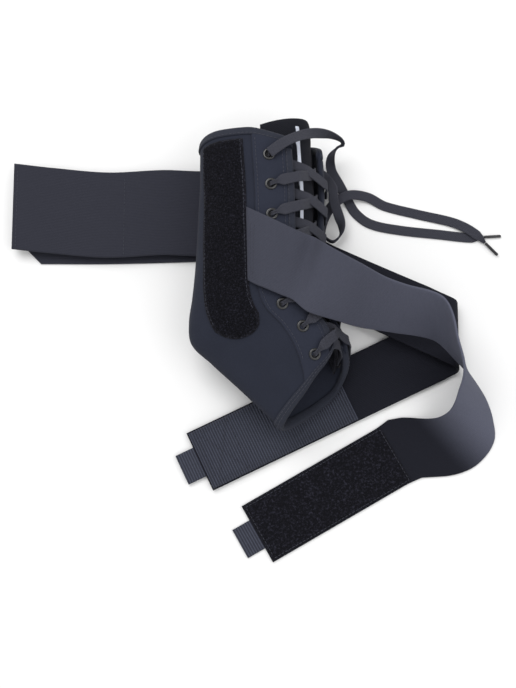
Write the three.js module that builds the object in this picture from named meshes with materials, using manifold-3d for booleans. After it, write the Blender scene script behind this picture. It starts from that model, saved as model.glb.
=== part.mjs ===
// A lace-up ankle brace of padded synthetic fabric, as it lies on its inner side on a table.
// A boot open at the top, at the toe and down the front has a tongue, sixteen eyelets and a flat lace.
// Two long straps and a wide elastic cuff lie spread out beside it.
// Units are millimetres and +Z is up. The leg points along +Y, the toes along +X and -Y, and Z = 0 is the table.
// "lateral" names the pieces on the side that faces up, and "medial" those on the side that lies on the table.
import * as THREE from "three";
import { mergeVertices } from "three/addons/utils/BufferGeometryUtils.js";
import Module from "manifold-3d";

const wasm = await Module();
wasm.setup();

// The boot
const LEG_HEIGHT = 173; // from the heel's corner to the top rim
const LEG_WIDTH = 95; // from the back to the front of the leg, as it lies
const LEG_DEPTH = 68; // from the lateral side down to the medial side
const SOLE_LENGTH = 96; // from the heel's corner to the toe rim
const SOLE_ANGLE = -43; // the sole's direction, in degrees from +X
const WALL = 3.2; // padded fabric
const SQUARENESS = 2.3; // 2 makes each section an ellipse
const RIM_DROP = 9; // the top rim is this much lower than the tongue's root
const RIM_DIP_BACK = 4; // and lower still at the back
const RIM_DIP_FRONT = 7; // and at the front edges
const TOE_CORNER = 15; // radius of the front edges' corners at the toe
const TOP_CORNER = 9; // and at the top rim
const TOE_SWEEP = 6; // the toe rim is this much farther back at the front edges

// What is sewn on the boot
const GAP = 0.45; // between two pieces that touch
const TAPE = 0.7; // thickness of the edge binding
const BINDING_WIDTH = 6.5;
const FACING_WIDTH = 23; // the eyelet facing
const FACING = 1; // thickness
const STRIP_START = 38.5; // from the front edge to the loop strip
const STRIP_WIDTH = 35;
const STRIP_LENGTH = 152;
const STRIP_BELOW_RIM = 3; // from the binding's lower edge
const PILE = 1.8; // thickness of the loop strip, pile included

// Eyelets and lace
const EYELET_ROWS = 8;
const EYELET_INSET = 18.5; // from the front edge to the eyelets
const EYELET_FIRST = 0.185 * LEG_HEIGHT; // from the top of the boot to the first row
const EYELET_PITCH = 0.133 * LEG_HEIGHT;
const EYELET_BORE = 2.4; // radius
const EYELET_BARREL = 0.5; // thickness of its metal
const EYELET_FLANGE = 1.7; // the flange is this much wider than the barrel
const EYELET_METAL = 0.6; // thickness of the flange
const EYELET_SIDES = 8;
const LACE_WIDTH = 8;
const LACE = 1.3; // thickness
const LACE_BUNCHED = 3.4; // width in an eyelet
const LACE_SLACK = 0.9; // two crossing passes each keep this far from the middle between them
const AGLET_LENGTH = 14;
const AGLET = 2.4; // diameter

// Tongue
const TONGUE = 3.5; // thickness
const TONGUE_TUCK = 24; // it reaches this far under each front edge
const TONGUE_ABOVE = 8; // it stands this far above the boot
const TONGUE_SHORT = 14; // it ends this far before the toe
const STRIPE_WIDTH = 4;
const STRIPE_LENGTH = 92;
const STRIPE = 0.5; // thickness

// Straps
const STRAP_WIDTH = 50;
const STRAP = 1.9; // thickness
const LATERAL_AT = 99; // from the boot's top to the middle of the lateral strap's seam
const MEDIAL_AT = 103; // and of the medial one's
const STRAP_SLANT = 36; // the lateral strap leaves its seam this many degrees down the leg
const STRAP_LEAN = 10; // and its lines over its width lean this far by the front edge
const SWING_OUT = 0.26; // the lateral strap's run is measured from here, as a share of LEG_WIDTH
const SWING_UP = 0.333; // and of LEG_HEIGHT
const LATERAL_REACH = 146; // how far the lateral strap runs out past the boot
const LATERAL_TAIL = 135; // its straight run that lies flat
const MEDIAL_REACH = 103; // how far the medial strap runs out past the boot to its fold
const MEDIAL_TAIL = 222; // from its fold to its end
const MEDIAL_ANGLE = 25.5; // both its runs leave the fold's normal by this many degrees
const FOLD_HEIGHT = 10; // between its two runs at the fold
const HOOK_LENGTH = 125;
const HOOK = 1.6; // thickness of a hook patch
const PATCH_MARGIN = 1.2; // from a strap's edge to a patch's
const WEBBING_LENGTH = 128; // ribbed webbing on the medial strap's end
const WEBBING = 1.1; // thickness
const TAB_WIDTH = 25;
const TAB_LENGTH = 15;
const TAB = 1.4; // thickness

// Cuff
const CUFF_WIDTH = 71;
const CUFF_AT = 61; // from the boot's top to the cuff's middle
const CUFF_TUCK = 19.2; // its fold lies this far in under the boot's back
const CUFF = 2; // thickness
const CUFF_LENGTH = 152; // the upper wing, from the boot's back to its end
const CUFF_LOWER = 141; // the lower wing
const CUFF_OPEN = 7; // height between the wings
const CUFF_SIDE = 5; // the lower wing lies this much lower down the leg
const CUFF_CLIP = 11; // the lower wing's clipped corners
const CUFF_PATCH = 90; // length of the patch under the upper wing
const CUFF_PATCH_DROP = 0.3; // it hangs this much clear of the wing, over the usual gap
const CUFF_STEP = 20; // between the wing's rows

const DEG = Math.PI / 180;
const v3 = (x, y, z) => new THREE.Vector3(x, y, z);
const mix = (from, to, share) => from + (to - from) * share;
const cosOf = (angle) => Math.cos(angle * DEG);
const sinOf = (angle) => Math.sin(angle * DEG);

// The boot rests on its medial loop strip, and its toe on the medial strap's end.
const BOOT_LIFT = GAP + PILE + GAP;
const STRAP_STACK = HOOK + GAP + STRAP + GAP + WEBBING;
const TOE_LIFT = STRAP_STACK + GAP + FACING + GAP;

// Each row is one section of the boot, from the top rim down the leg, round the heel and along the sole.
// leg and sole place the section's back: on the leg, as a share of LEG_HEIGHT up from the heel's corner,
// and on the sole, as a share of SOLE_LENGTH. bow (sideways) and width are shares of LEG_WIDTH, and depth is
// one of LEG_DEPTH. tilt and lean turn the section, and pinch narrows it towards the back or the sole. prop is
// how far the medial strap's end lifts it, as a share of its full lift at the toe.
// lateral and medial are the angles round the section, from its front, of the two front edges.
const SECTIONS = [
  { leg: 1, sole: 0, bow: 0.07, width: 0.985, tilt: 0, depth: 0.97, pinch: 0.05, lean: 0, prop: 0, lateral: 62, medial: 4 },
  { leg: 0.85, sole: 0, bow: 0.063, width: 1, tilt: 1, depth: 1, pinch: 0.05, lean: 0, prop: 0, lateral: 61, medial: 4 },
  { leg: 0.67, sole: 0, bow: 0.053, width: 1.03, tilt: 2.5, depth: 1, pinch: 0.06, lean: 0, prop: 0, lateral: 60, medial: 3 },
  { leg: 0.49, sole: 0, bow: 0.042, width: 1.035, tilt: 6, depth: 0.985, pinch: 0.08, lean: 0, prop: 0, lateral: 58, medial: 2 },
  { leg: 0.347, sole: 0, bow: 0.026, width: 1.05, tilt: 9.2, depth: 0.97, pinch: 0.12, lean: 0, prop: 0, lateral: 56, medial: 0 },
  { leg: 0.208, sole: 0, bow: -0.005, width: 1.085, tilt: 12.5, depth: 0.97, pinch: 0.2, lean: 2, prop: 0.05, lateral: 54, medial: -2 },
  { leg: 0.098, sole: 0, bow: -0.026, width: 1.12, tilt: 15, depth: 0.96, pinch: 0.28, lean: 4, prop: 0.2, lateral: 51, medial: -4 },
  { leg: 0, sole: 0, bow: 0, width: 1.14, tilt: 18.3, depth: 0.94, pinch: 0.38, lean: 7, prop: 0.4, lateral: 47, medial: -6 },
  { leg: 0, sole: 0.22, bow: 0, width: 1.074, tilt: 22.2, depth: 0.91, pinch: 0.46, lean: 11, prop: 0.65, lateral: 44, medial: -8 },
  { leg: 0, sole: 0.5, bow: 0, width: 0.975, tilt: 28.4, depth: 0.88, pinch: 0.5, lean: 15, prop: 0.9, lateral: 42, medial: -9 },
  { leg: 0, sole: 0.79, bow: 0, width: 0.853, tilt: 36.7, depth: 0.85, pinch: 0.53, lean: 19, prop: 1, lateral: 42, medial: -10 },
  { leg: 0, sole: 1, bow: 0, width: 0.737, tilt: 43.3, depth: 0.82, pinch: 0.55, lean: 22, prop: 1, lateral: 44, medial: -10 },
];

// A smooth curve through values at rising places, straight past both ends.
function smooth(places, values) {
  const last = places.length - 1;
  const slope = (i) => {
    const a = Math.max(i - 1, 0);
    const b = Math.min(i + 1, last);
    return (values[b] - values[a]) / (places[b] - places[a]);
  };
  return (at) => {
    if (at <= places[0]) return values[0] + (at - places[0]) * slope(0);
    if (at >= places[last]) return values[last] + (at - places[last]) * slope(last);
    const i = places.findIndex((p, k) => at <= places[k + 1]);
    const span = places[i + 1] - places[i];
    const t = (at - places[i]) / span;
    const bend = t * t * (3 - 2 * t);
    const swing = slope(i) * t * (1 - t) * (1 - t) - slope(i + 1) * t * t * (1 - t);
    return mix(values[i], values[i + 1], bend) + span * swing;
  };
}

function ease(t) {
  const c = Math.min(Math.max(t, 0), 1);
  return c * c * (3 - 2 * c);
}

// The boot's skin
const FRONT = LEG_WIDTH * 0.54; // the leg's front lies this far along +X, and its back as far along -X
const BACKS = SECTIONS.map((row) =>
  v3(
    -FRONT + row.bow * LEG_WIDTH + row.sole * SOLE_LENGTH * cosOf(SOLE_ANGLE),
    row.leg * LEG_HEIGHT + row.sole * SOLE_LENGTH * sinOf(SOLE_ANGLE),
    0,
  ),
);
const CENTRES = SECTIONS.map((row, i) => {
  const half = (row.width * LEG_WIDTH) / 2;
  return BACKS[i].clone().add(v3(half * cosOf(row.tilt), half * sinOf(row.tilt), 0));
});
const STATIONS = [];
CENTRES.forEach((c, i) => STATIONS.push(i ? STATIONS[i - 1] + c.distanceTo(CENTRES[i - 1]) : 0));
const TOE = STATIONS[STATIONS.length - 1];
const column = {};
for (const name of ["width", "tilt", "depth", "pinch", "lean", "prop", "lateral", "medial"])
  column[name] = smooth(STATIONS, SECTIONS.map((row) => row[name]));
const centreX = smooth(STATIONS, CENTRES.map((c) => c.x));
const centreY = smooth(STATIONS, CENTRES.map((c) => c.y));

// A point of the skin, s along the boot from its top and at an angle round it: 90 is up and 270 is down.
function skinPoint(s, angle) {
  const tilt = column.tilt(s);
  const lean = column.lean(s);
  const [c, n] = [cosOf(angle), sinOf(angle)];
  const round = (Math.abs(c) ** SQUARENESS + Math.abs(n) ** SQUARENESS) ** (-1 / SQUARENESS);
  const rise = (column.depth(s) * LEG_DEPTH) / 2;
  const narrowing = (at) => 1 - column.pinch(s) * ((1 - at) / 2) ** 1.5;
  const across = (c * round * column.width(s) * LEG_WIDTH) / 2;
  const up = n * round * rise * narrowing(c * round);
  return v3(
    centreX(s) + across * cosOf(tilt) - up * sinOf(lean) * sinOf(tilt),
    centreY(s) + across * sinOf(tilt) + up * sinOf(lean) * cosOf(tilt),
    mix(BOOT_LIFT, TOE_LIFT, column.prop(s)) + (rise * narrowing(0.5) + up) * cosOf(lean),
  );
}

const NUDGE = 0.5; // millimetres along and degrees round, to find how the skin faces

// The skin's three directions at a place: along the boot, round it and out of it.
function skinFrame(s, angle) {
  const along = skinPoint(s + NUDGE, angle).sub(skinPoint(s - NUDGE, angle)).normalize();
  const round = skinPoint(s, angle + NUDGE).sub(skinPoint(s, angle - NUDGE)).normalize();
  const out = round.clone().cross(along).normalize();
  return { along, round, out };
}

const skin = (s, angle, lift) => skinPoint(s, angle).addScaledVector(skinFrame(s, angle).out, lift);

const LATERAL = 1;
const MEDIAL = -1;
const edgeAngle = (s, side) => (side === LATERAL ? column.lateral(s) : column.medial(s) + 360);
const ARC_STEP = 2; // degrees

// The angle at a distance over the skin from a front edge, towards the back.
function angleFrom(s, side, distance) {
  let angle = edgeAngle(s, side);
  let left = distance;
  let here = skinPoint(s, angle);
  for (;;) {
    const next = skinPoint(s, angle + side * ARC_STEP);
    const chord = next.distanceTo(here);
    if (chord >= left) return angle + (side * ARC_STEP * left) / chord;
    left -= chord;
    angle += side * ARC_STEP;
    here = next;
  }
}

// A share of the way round the boot, from the lateral front edge over the back to the medial one.
const shareAngle = (s, share) => mix(edgeAngle(s, LATERAL), edgeAngle(s, MEDIAL), share);
const angleShare = (s, angle) =>
  (angle - edgeAngle(s, LATERAL)) / (edgeAngle(s, MEDIAL) - edgeAngle(s, LATERAL));

// Roughly the distance to the nearer front edge, for the rims' rounded corners.
const GIRTH = (LEG_WIDTH + LEG_DEPTH) * 1.35;
const fromEdge = (share) => Math.min(share, 1 - share) * GIRTH;
const corner = (distance, radius) =>
  distance >= radius ? 0 : radius - Math.sqrt(radius * radius - (radius - distance) ** 2);

// Where the top rim and the toe rim lie, by that share.
function rimTop(share) {
  const back = RIM_DIP_BACK * ease(1 - Math.abs(share - 0.42) / 0.2);
  const front = RIM_DIP_FRONT * ease(1 - fromEdge(share) / 30);
  return RIM_DROP + back + front + corner(fromEdge(share), TOP_CORNER) / 2;
}
const rimToe = (share) =>
  TOE - corner(fromEdge(share), TOE_CORNER) - TOE_SWEEP * ease(1 - fromEdge(share) / 45);

// Turns a list of triangles into one closed surface that faces out.
function closed(positions, triangles) {
  const at = (i) => v3(...positions.slice(3 * i, 3 * i + 3));
  let volume = 0;
  for (const [a, b, c] of triangles) volume += at(a).dot(at(b).cross(at(c)));
  const faces = volume < 0 ? triangles.map(([a, b, c]) => [a, c, b]) : triangles;
  const geometry = new THREE.BufferGeometry();
  geometry.setAttribute("position", new THREE.Float32BufferAttribute(positions, 3));
  geometry.setIndex(faces.flat());
  return geometry;
}

// A slab between two grids of points, which are rows of equal length: its two faces and its four sides.
function slab(face, back) {
  const rows = face.length;
  const columns = face[0].length;
  const positions = [...face.flat(), ...back.flat()].flatMap((p) => [p.x, p.y, p.z]);
  const index = (layer, i, j) => layer * rows * columns + i * columns + j;
  const triangles = [];
  const quad = (a, b, c, d) => triangles.push([a, b, c], [a, c, d]);
  for (let i = 0; i + 1 < rows; i++)
    for (let j = 0; j + 1 < columns; j++) {
      quad(index(0, i, j), index(0, i + 1, j), index(0, i + 1, j + 1), index(0, i, j + 1));
      quad(index(1, i, j), index(1, i, j + 1), index(1, i + 1, j + 1), index(1, i + 1, j));
    }
  const end = columns - 1;
  for (let i = 0; i + 1 < rows; i++) {
    quad(index(0, i, 0), index(1, i, 0), index(1, i + 1, 0), index(0, i + 1, 0));
    quad(index(0, i, end), index(0, i + 1, end), index(1, i + 1, end), index(1, i, end));
  }
  const foot = rows - 1;
  for (let j = 0; j + 1 < columns; j++) {
    quad(index(0, 0, j), index(0, 0, j + 1), index(1, 0, j + 1), index(1, 0, j));
    quad(index(0, foot, j), index(1, foot, j), index(1, foot, j + 1), index(0, foot, j + 1));
  }
  return closed(positions, triangles);
}

// A slab on the skin. place(u, v) gives [s, angle] for shares u along it and v round it.
function skinSlab(rows, columns, place, low, high) {
  const grid = (lift) =>
    Array.from({ length: rows + 1 }, (_, i) =>
      Array.from({ length: columns + 1 }, (__, j) => skin(...place(i / rows, j / columns), lift)),
    );
  return slab(grid(high), grid(low));
}

// A closed body lofted through rings of points and capped at both ends.
// Both faces of a thin band are split along the same diagonals, so that it doesn't cut itself in a twist.
function loft(rings) {
  const n = rings[0].length;
  const positions = rings.flat().flatMap((p) => [p.x, p.y, p.z]);
  const triangles = [];
  for (let i = 0; i + 1 < rings.length; i++)
    for (let j = 0; j < n; j++) {
      const [a, b] = [i * n + j, i * n + ((j + 1) % n)];
      if (2 * j < n) triangles.push([a, b, b + n], [a, b + n, a + n]);
      else triangles.push([a, b, a + n], [b, b + n, a + n]);
    }
  const last = (rings.length - 1) * n;
  for (let j = 1; j + 1 < n; j++) triangles.push([0, j + 1, j], [last, last + j, last + j + 1]);
  return closed(positions, triangles);
}

// A flat band along rows of at (its middle), across (a straight line over its width), width and thick.
const travelAt = (rows, i) =>
  rows[Math.min(i + 1, rows.length - 1)].at
    .clone()
    .sub(rows[Math.max(i - 1, 0)].at)
    .normalize();
const BAND_CORNERS = [
  [1, 1],
  [-1, 1],
  [-1, -1],
  [1, -1],
];
function band(rows) {
  const rings = rows.map((row, i) => {
    const side = row.across.clone().normalize();
    const face = travelAt(rows, i).cross(side);
    const half = row.width / face.length() / 2;
    face.normalize();
    const ring = BAND_CORNERS.map(([a, b]) =>
      row.at
        .clone()
        .addScaledVector(side, a * half)
        .addScaledVector(face, (b * row.thick) / 2),
    );
    const sunk = Math.min(0, ...ring.map((p) => p.z));
    return ring.map((p) => p.setZ(p.z - sunk)); // it lies on the table and not in it
  });
  return loft(rings);
}

// The same rows with each across turned square to the band.
const squared = (rows) =>
  rows.map((row, i) => {
    const travel = travelAt(rows, i);
    return { ...row, across: row.across.clone().addScaledVector(travel, -row.across.dot(travel)) };
  });

// More rows between the given ones, along a smooth curve through them, about a step and at most a turn apart.
const turnOf = (rows, i) =>
  Math.max(rows[i].across.angleTo(rows[i + 1].across), travelAt(rows, i).angleTo(travelAt(rows, i + 1)));
function smoothed(rows, step, turn = Math.PI) {
  const places = [0];
  rows.slice(1).forEach((row, i) => places.push(places[i] + Math.max(row.at.distanceTo(rows[i].at), 0.1)));
  const curve = (pick) => smooth(places, rows.map(pick));
  const [x, y, z] = ["x", "y", "z"].map((k) => curve((row) => row.at[k]));
  const [ax, ay, az] = ["x", "y", "z"].map((k) => curve((row) => row.across.clone().normalize()[k]));
  const width = curve((row) => row.width);
  const made = [];
  for (let i = 0; i + 1 < places.length; i++) {
    const [byStep, byTurn] = [(places[i + 1] - places[i]) / step, turnOf(rows, i) / turn];
    const parts = Math.max(1, Math.round(byStep), Math.ceil(byTurn));
    for (let k = 0; k < parts; k++) made.push(mix(places[i], places[i + 1], k / parts));
  }
  made.push(places[places.length - 1]);
  return made.map((p) => ({
    at: v3(x(p), y(p), z(p)),
    across: v3(ax(p), ay(p), az(p)),
    width: width(p),
    thick: rows[0].thick,
  }));
}

// Booleans
function solid(geometry) {
  const bare = new THREE.BufferGeometry();
  bare.setAttribute("position", geometry.getAttribute("position").clone());
  bare.setIndex(geometry.index.clone());
  const merged = mergeVertices(bare, 1e-3);
  const mesh = new wasm.Mesh({
    numProp: 3,
    vertProperties: merged.attributes.position.array,
    triVerts: new Uint32Array(merged.index.array),
  });
  return new wasm.Manifold(mesh);
}
function drilled(geometry, holes) {
  const left = holes.reduce((body, hole) => body.subtract(hole), solid(geometry));
  const { vertProperties, triVerts } = left.getMesh();
  const cut = new THREE.BufferGeometry();
  cut.setAttribute("position", new THREE.Float32BufferAttribute(vertProperties, 3));
  cut.setIndex([...triVerts]);
  return cut;
}

// Materials
const cloth = (color, roughness) => new THREE.MeshStandardMaterial({ color, roughness, metalness: 0 });
const brace = new THREE.Group();
function add(name, geometry, material) {
  geometry.computeVertexNormals();
  const mesh = new THREE.Mesh(geometry, material);
  mesh.name = name;
  brace.add(mesh);
}

// Each row of eyelets lies this far along the boot, a pitch apart along the lateral front edge.
function eyeletRows() {
  const spot = (s) => skinPoint(s, angleFrom(s, LATERAL, EYELET_INSET));
  const found = [EYELET_FIRST];
  let walked = 0;
  let here = spot(EYELET_FIRST);
  for (let s = EYELET_FIRST + 1; found.length < EYELET_ROWS; s += 1) {
    const next = spot(s);
    const chord = next.distanceTo(here);
    if (walked + chord >= EYELET_PITCH) {
      found.push(s - 1 + (EYELET_PITCH - walked) / chord);
      walked += chord - EYELET_PITCH;
    } else walked += chord;
    here = next;
  }
  return found;
}
const ROWS = eyeletRows();
const SIDES = [
  { side: LATERAL, name: "lateral" },
  { side: MEDIAL, name: "medial" },
];
const eyeletAngle = (s, side) => angleFrom(s, side, EYELET_INSET) - (side === MEDIAL ? 360 : 0);

// Heights over the skin
const FACING_TOP = GAP + FACING;
const EYELET_SEAT = FACING_TOP + GAP;
const EYELET_TOP = EYELET_SEAT + EYELET_METAL;
const EYELET_FOOT = -WALL - GAP - EYELET_METAL;
const LACE_OUTSIDE = EYELET_TOP + GAP + LACE / 2;
const LACE_INSIDE = EYELET_FOOT - GAP - LACE / 2;
const TONGUE_TOP = LACE_INSIDE - LACE / 2 - GAP - STRIPE - GAP;
const TONGUE_FOOT = TONGUE_TOP - TONGUE;

// Puts a shape made round +Z at an eyelet, with +Z out of the skin.
function atEyelet(geometry, s, side) {
  const angle = eyeletAngle(s, side);
  const { along, out } = skinFrame(s, angle);
  const third = out.clone().cross(along);
  const turn = new THREE.Matrix4().makeBasis(along, third, out);
  return geometry.applyMatrix4(turn.setPosition(skinPoint(s, angle)));
}
const BARREL = EYELET_BORE + EYELET_BARREL;
function eyelet(s, side) {
  const profile = [
    [EYELET_BORE, EYELET_FOOT],
    [BARREL + EYELET_METAL, EYELET_FOOT],
    [BARREL, EYELET_FOOT + EYELET_METAL],
    [BARREL, EYELET_SEAT],
    [BARREL + EYELET_FLANGE, EYELET_SEAT],
    [BARREL, EYELET_TOP],
    [EYELET_BORE, EYELET_TOP - EYELET_METAL / 2],
    [EYELET_BORE, EYELET_FOOT],
  ].map(([r, z]) => new THREE.Vector2(r, z));
  return atEyelet(new THREE.LatheGeometry(profile, EYELET_SIDES).rotateX(90 * DEG), s, side);
}
function eyeletHole(s, side) {
  const radius = BARREL + GAP;
  const length = 4 * (WALL + FACING_TOP);
  const hole = new THREE.CylinderGeometry(radius, radius, length, EYELET_SIDES);
  return solid(atEyelet(hole.rotateX(90 * DEG), s, side));
}
const HOLES = SIDES.map(({ side }) => ROWS.map((s) => eyeletHole(s, side)));

const SHELL_FABRIC = cloth(0x2a2c33, 0.75);
const shellPlace = (u, v) => {
  const s = mix(rimTop(v), rimToe(v), u);
  return [s, shareAngle(s, v)];
};
add("shell", drilled(skinSlab(21, 28, shellPlace, -WALL, 0), HOLES.flat()), SHELL_FABRIC);

// Hems: a binding round the top rim, one round the toe rim and one down each front edge
const TAPE_FABRIC = cloth(0x2b2e36, 0.6);
const rimPlace = (rim, from) => (u, v) => {
  const s = rim(v) + from + u * BINDING_WIDTH;
  return [s, shareAngle(s, v)];
};
add("top_binding", skinSlab(1, 28, rimPlace(rimTop, 0), GAP, GAP + TAPE), TAPE_FABRIC);
add("toe_binding", skinSlab(1, 28, rimPlace(rimToe, -BINDING_WIDTH), GAP, GAP + TAPE), TAPE_FABRIC);

// A place between the two rims' bindings, at distance(v) from a front edge
const betweenRims = (side, distance, below, above) => (u, v) => {
  const shareAt = (s) => angleShare(s, angleFrom(s, side, distance(v)));
  const first = shareAt(TOE * u);
  const s = mix(rimTop(first) + BINDING_WIDTH + below, rimToe(first) - BINDING_WIDTH - above, u);
  return [s, angleFrom(s, side, distance(v))];
};
const FACING_START = BINDING_WIDTH + GAP;
SIDES.forEach(({ side, name }, i) => {
  const hem = betweenRims(side, (v) => v * BINDING_WIDTH, 2 * GAP, 2 * GAP);
  add(`${name}_front_binding`, skinSlab(20, 1, hem, GAP * 1.2, GAP * 1.2 + TAPE), TAPE_FABRIC);
  const panel = betweenRims(side, (v) => FACING_START + v * FACING_WIDTH, 2 * GAP, 2 * GAP);
  add(`${name}_facing`, drilled(skinSlab(16, 3, panel, GAP, FACING_TOP), HOLES[i]), cloth(0x31333c, 0.5));
  const stripPlace = (u, v) => {
    const round = 1 - Math.sqrt(1 - (2 * v - 1) ** 2 * 0.97);
    const start = rimTop(shareAtStart(side, v)) + BINDING_WIDTH + STRIP_BELOW_RIM;
    const s = start + u * (STRIP_LENGTH - (round * STRIP_WIDTH) / 2);
    return [s, angleFrom(s, side, STRIP_START + v * STRIP_WIDTH)];
  };
  add(`${name}_loop_strip`, skinSlab(12, 5, stripPlace, GAP, GAP + PILE), cloth(0x17181b, 1));
  ROWS.forEach((s, k) =>
    add(
      `${name}_eyelet_${k + 1}`,
      eyelet(s, side),
      new THREE.MeshStandardMaterial({ color: 0x15161a, roughness: 0.25, metalness: 0.9 }),
    ),
  );
});
function shareAtStart(side, v) {
  return angleShare(0, angleFrom(0, side, STRIP_START + v * STRIP_WIDTH));
}

// The tongue, from above the top rim to short of the toe, tucked under both front edges
const tonguePlace = (u, v) => {
  const arch = TONGUE_ABOVE * (1 - (2 * v - 1) ** 2);
  const s = mix(-arch + RIM_DIP_FRONT / 2, TOE - TONGUE_SHORT, u);
  return [s, mix(angleFrom(s, LATERAL, TONGUE_TUCK), angleFrom(s, MEDIAL, TONGUE_TUCK) - 360, v)];
};
add("tongue", skinSlab(14, 6, tonguePlace, TONGUE_FOOT, TONGUE_TOP), cloth(0x1d1e22, 0.95));
const stripePlace = (u, v) => {
  const s = TONGUE_ABOVE / 2 + u * STRIPE_LENGTH;
  const start = edgeAngle(s, LATERAL) - (STRIPE_WIDTH * 2) / (LEG_WIDTH / 2) / DEG;
  return [s, start - (v * STRIPE_WIDTH) / (LEG_WIDTH / 2) / DEG];
};
const STRIPE_FOOT = TONGUE_TOP + GAP;
const STRIPE_FABRIC = cloth(0xc9ccd8, 0.5);
add("tongue_stripe", skinSlab(8, 1, stripePlace, STRIPE_FOOT, STRIPE_FOOT + STRIPE), STRIPE_FABRIC);

// The lace's held run goes from the top lateral eyelet down to the toe and up to the top medial one.
// Each pass leaves its upper eyelet inside the boot, crosses the tongue and enters the lower one from outside.
const OVER_EDGE = GAP + TAPE + GAP + LACE / 2;
const laceRow = (s, angle, lift, width) => ({
  at: skin(s, angle, lift),
  across: skinFrame(s, angle).along,
  width,
  thick: LACE,
});
const other = (side) => -side;
const turned = (angle, side) => angle - (side === MEDIAL ? 360 : 0);
function lacePass(row, side) {
  const [s0, s1] = [ROWS[row], ROWS[row + 1]];
  const [e0, e1] = [turned(edgeAngle(s0, side), side), turned(edgeAngle(s1, other(side)), other(side))];
  const open = skinPoint(s0, e0).distanceTo(skinPoint(s1, e1));
  const whole = open + 2 * EYELET_INSET;
  const near = BARREL + EYELET_METAL + GAP;
  // from the upper eyelet to its edge, from edge to edge, and on to the lower eyelet
  const out = (r, lift, width) => {
    const s = mix(s0, s1, r / whole);
    return laceRow(s, turned(angleFrom(s, side, EYELET_INSET - r), side), lift, width);
  };
  const across = (share, lift) => {
    const s = mix(s0, s1, (EYELET_INSET + share * open) / whole);
    return laceRow(s, mix(e0, e1, share), lift, LACE_WIDTH);
  };
  const back = (r, lift, width) => {
    const s = mix(s1, s0, r / whole);
    return laceRow(s, turned(angleFrom(s, other(side), EYELET_INSET - r), other(side)), lift, width);
  };
  const middle = LACE_INSIDE + LACE_SLACK * (2 + side);
  return [
    out(near, LACE_INSIDE, LACE_BUNCHED),
    out(LACE_WIDTH, LACE_INSIDE, LACE_WIDTH),
    across(0, LACE_INSIDE),
    across(0.33, mix(LACE_INSIDE, middle, 0.7)),
    across(0.6, middle),
    across(0.84, OVER_EDGE - 1.5 * LACE),
    across(0.96, OVER_EDGE + GAP),
    back(EYELET_INSET * 0.8, OVER_EDGE + GAP, LACE_WIDTH),
    back(LACE_WIDTH, LACE_OUTSIDE + GAP, LACE_WIDTH),
    back(near, LACE_OUTSIDE + GAP / 2, LACE_BUNCHED),
  ];
}
const FREE_START = LACE_OUTSIDE + 3 * GAP;
const laceBore = (row, side) =>
  [row ? EYELET_TOP + LACE / 2 : FREE_START - LACE / 2 - 2 * GAP, EYELET_FOOT - LACE / 2].map((lift) =>
    laceRow(ROWS[row], eyeletAngle(ROWS[row], side), lift, LACE_BUNCHED),
  );
const LAST = EYELET_ROWS - 1;
const laceRows = [...laceBore(0, LATERAL)];
for (let row = 0, side = LATERAL; row < LAST; row++, side = other(side))
  laceRows.push(...lacePass(row, side), ...laceBore(row + 1, other(side)));
const bottomSide = LAST % 2 ? MEDIAL : LATERAL;
const bar = [0.05, 0.25, 0.5, 0.75, 0.95].map((t) => {
  const [from, to] = [bottomSide, other(bottomSide)].map((side) => eyeletAngle(ROWS[LAST], side));
  return laceRow(ROWS[LAST], mix(from, to, t), LACE_INSIDE, t > 0.1 && t < 0.9 ? LACE_WIDTH : LACE_BUNCHED);
});
laceRows.push(...bar, ...laceBore(LAST, other(bottomSide)).reverse());
for (let row = LAST - 1, side = bottomSide; row >= 0; row--, side = other(side))
  laceRows.push(...lacePass(row, side).reverse(), ...laceBore(row, side).reverse());
const LACE_FABRIC = cloth(0x2c2d33, 0.85);
add("lacing", band(squared(laceRows)), LACE_FABRIC);

// The lateral strap is sewn at the loop strip's edge, crosses the lacing and runs out past the boot. There it
// stands on its lower edge, swings round, falls over with its inner face up and lies flat.
const ELASTIC = cloth(0x3c3c44, 0.85);
const strapRow = (at, across) => ({ at, across, width: STRAP_WIDTH, thick: STRAP });
const OVER_LACE = LACE_OUTSIDE + LACE / 2 + GAP + STRAP / 2;
const seamRow = (side, middle, slant, lean) => (distance, lift) => {
  const s = middle + (STRIP_START - distance) * Math.tan(slant * DEG);
  const leaning = lean * (1 - distance / STRIP_START);
  const [low, high] = [1, -1].map((end) => {
    const at = s + (end * STRAP_WIDTH) / 2;
    return skin(at, angleFrom(at, side, distance + end * leaning), lift);
  });
  return strapRow(low.clone().add(high).divideScalar(2), high.clone().sub(low));
};
const lateralSeam = seamRow(LATERAL, LATERAL_AT, STRAP_SLANT, STRAP_LEAN);
const lateralStart = [
  lateralSeam(STRIP_START - 2 * GAP, GAP + STRAP / 2),
  lateralSeam(FACING_START + FACING_WIDTH + 4 * GAP, FACING_TOP + GAP + STRAP / 2),
  lateralSeam(EYELET_INSET + BARREL + EYELET_FLANGE, OVER_LACE + 2 * GAP),
  lateralSeam(EYELET_INSET / 2, OVER_LACE + 2 * GAP),
  lateralSeam(0, OVER_LACE + 4 * GAP),
];
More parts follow.
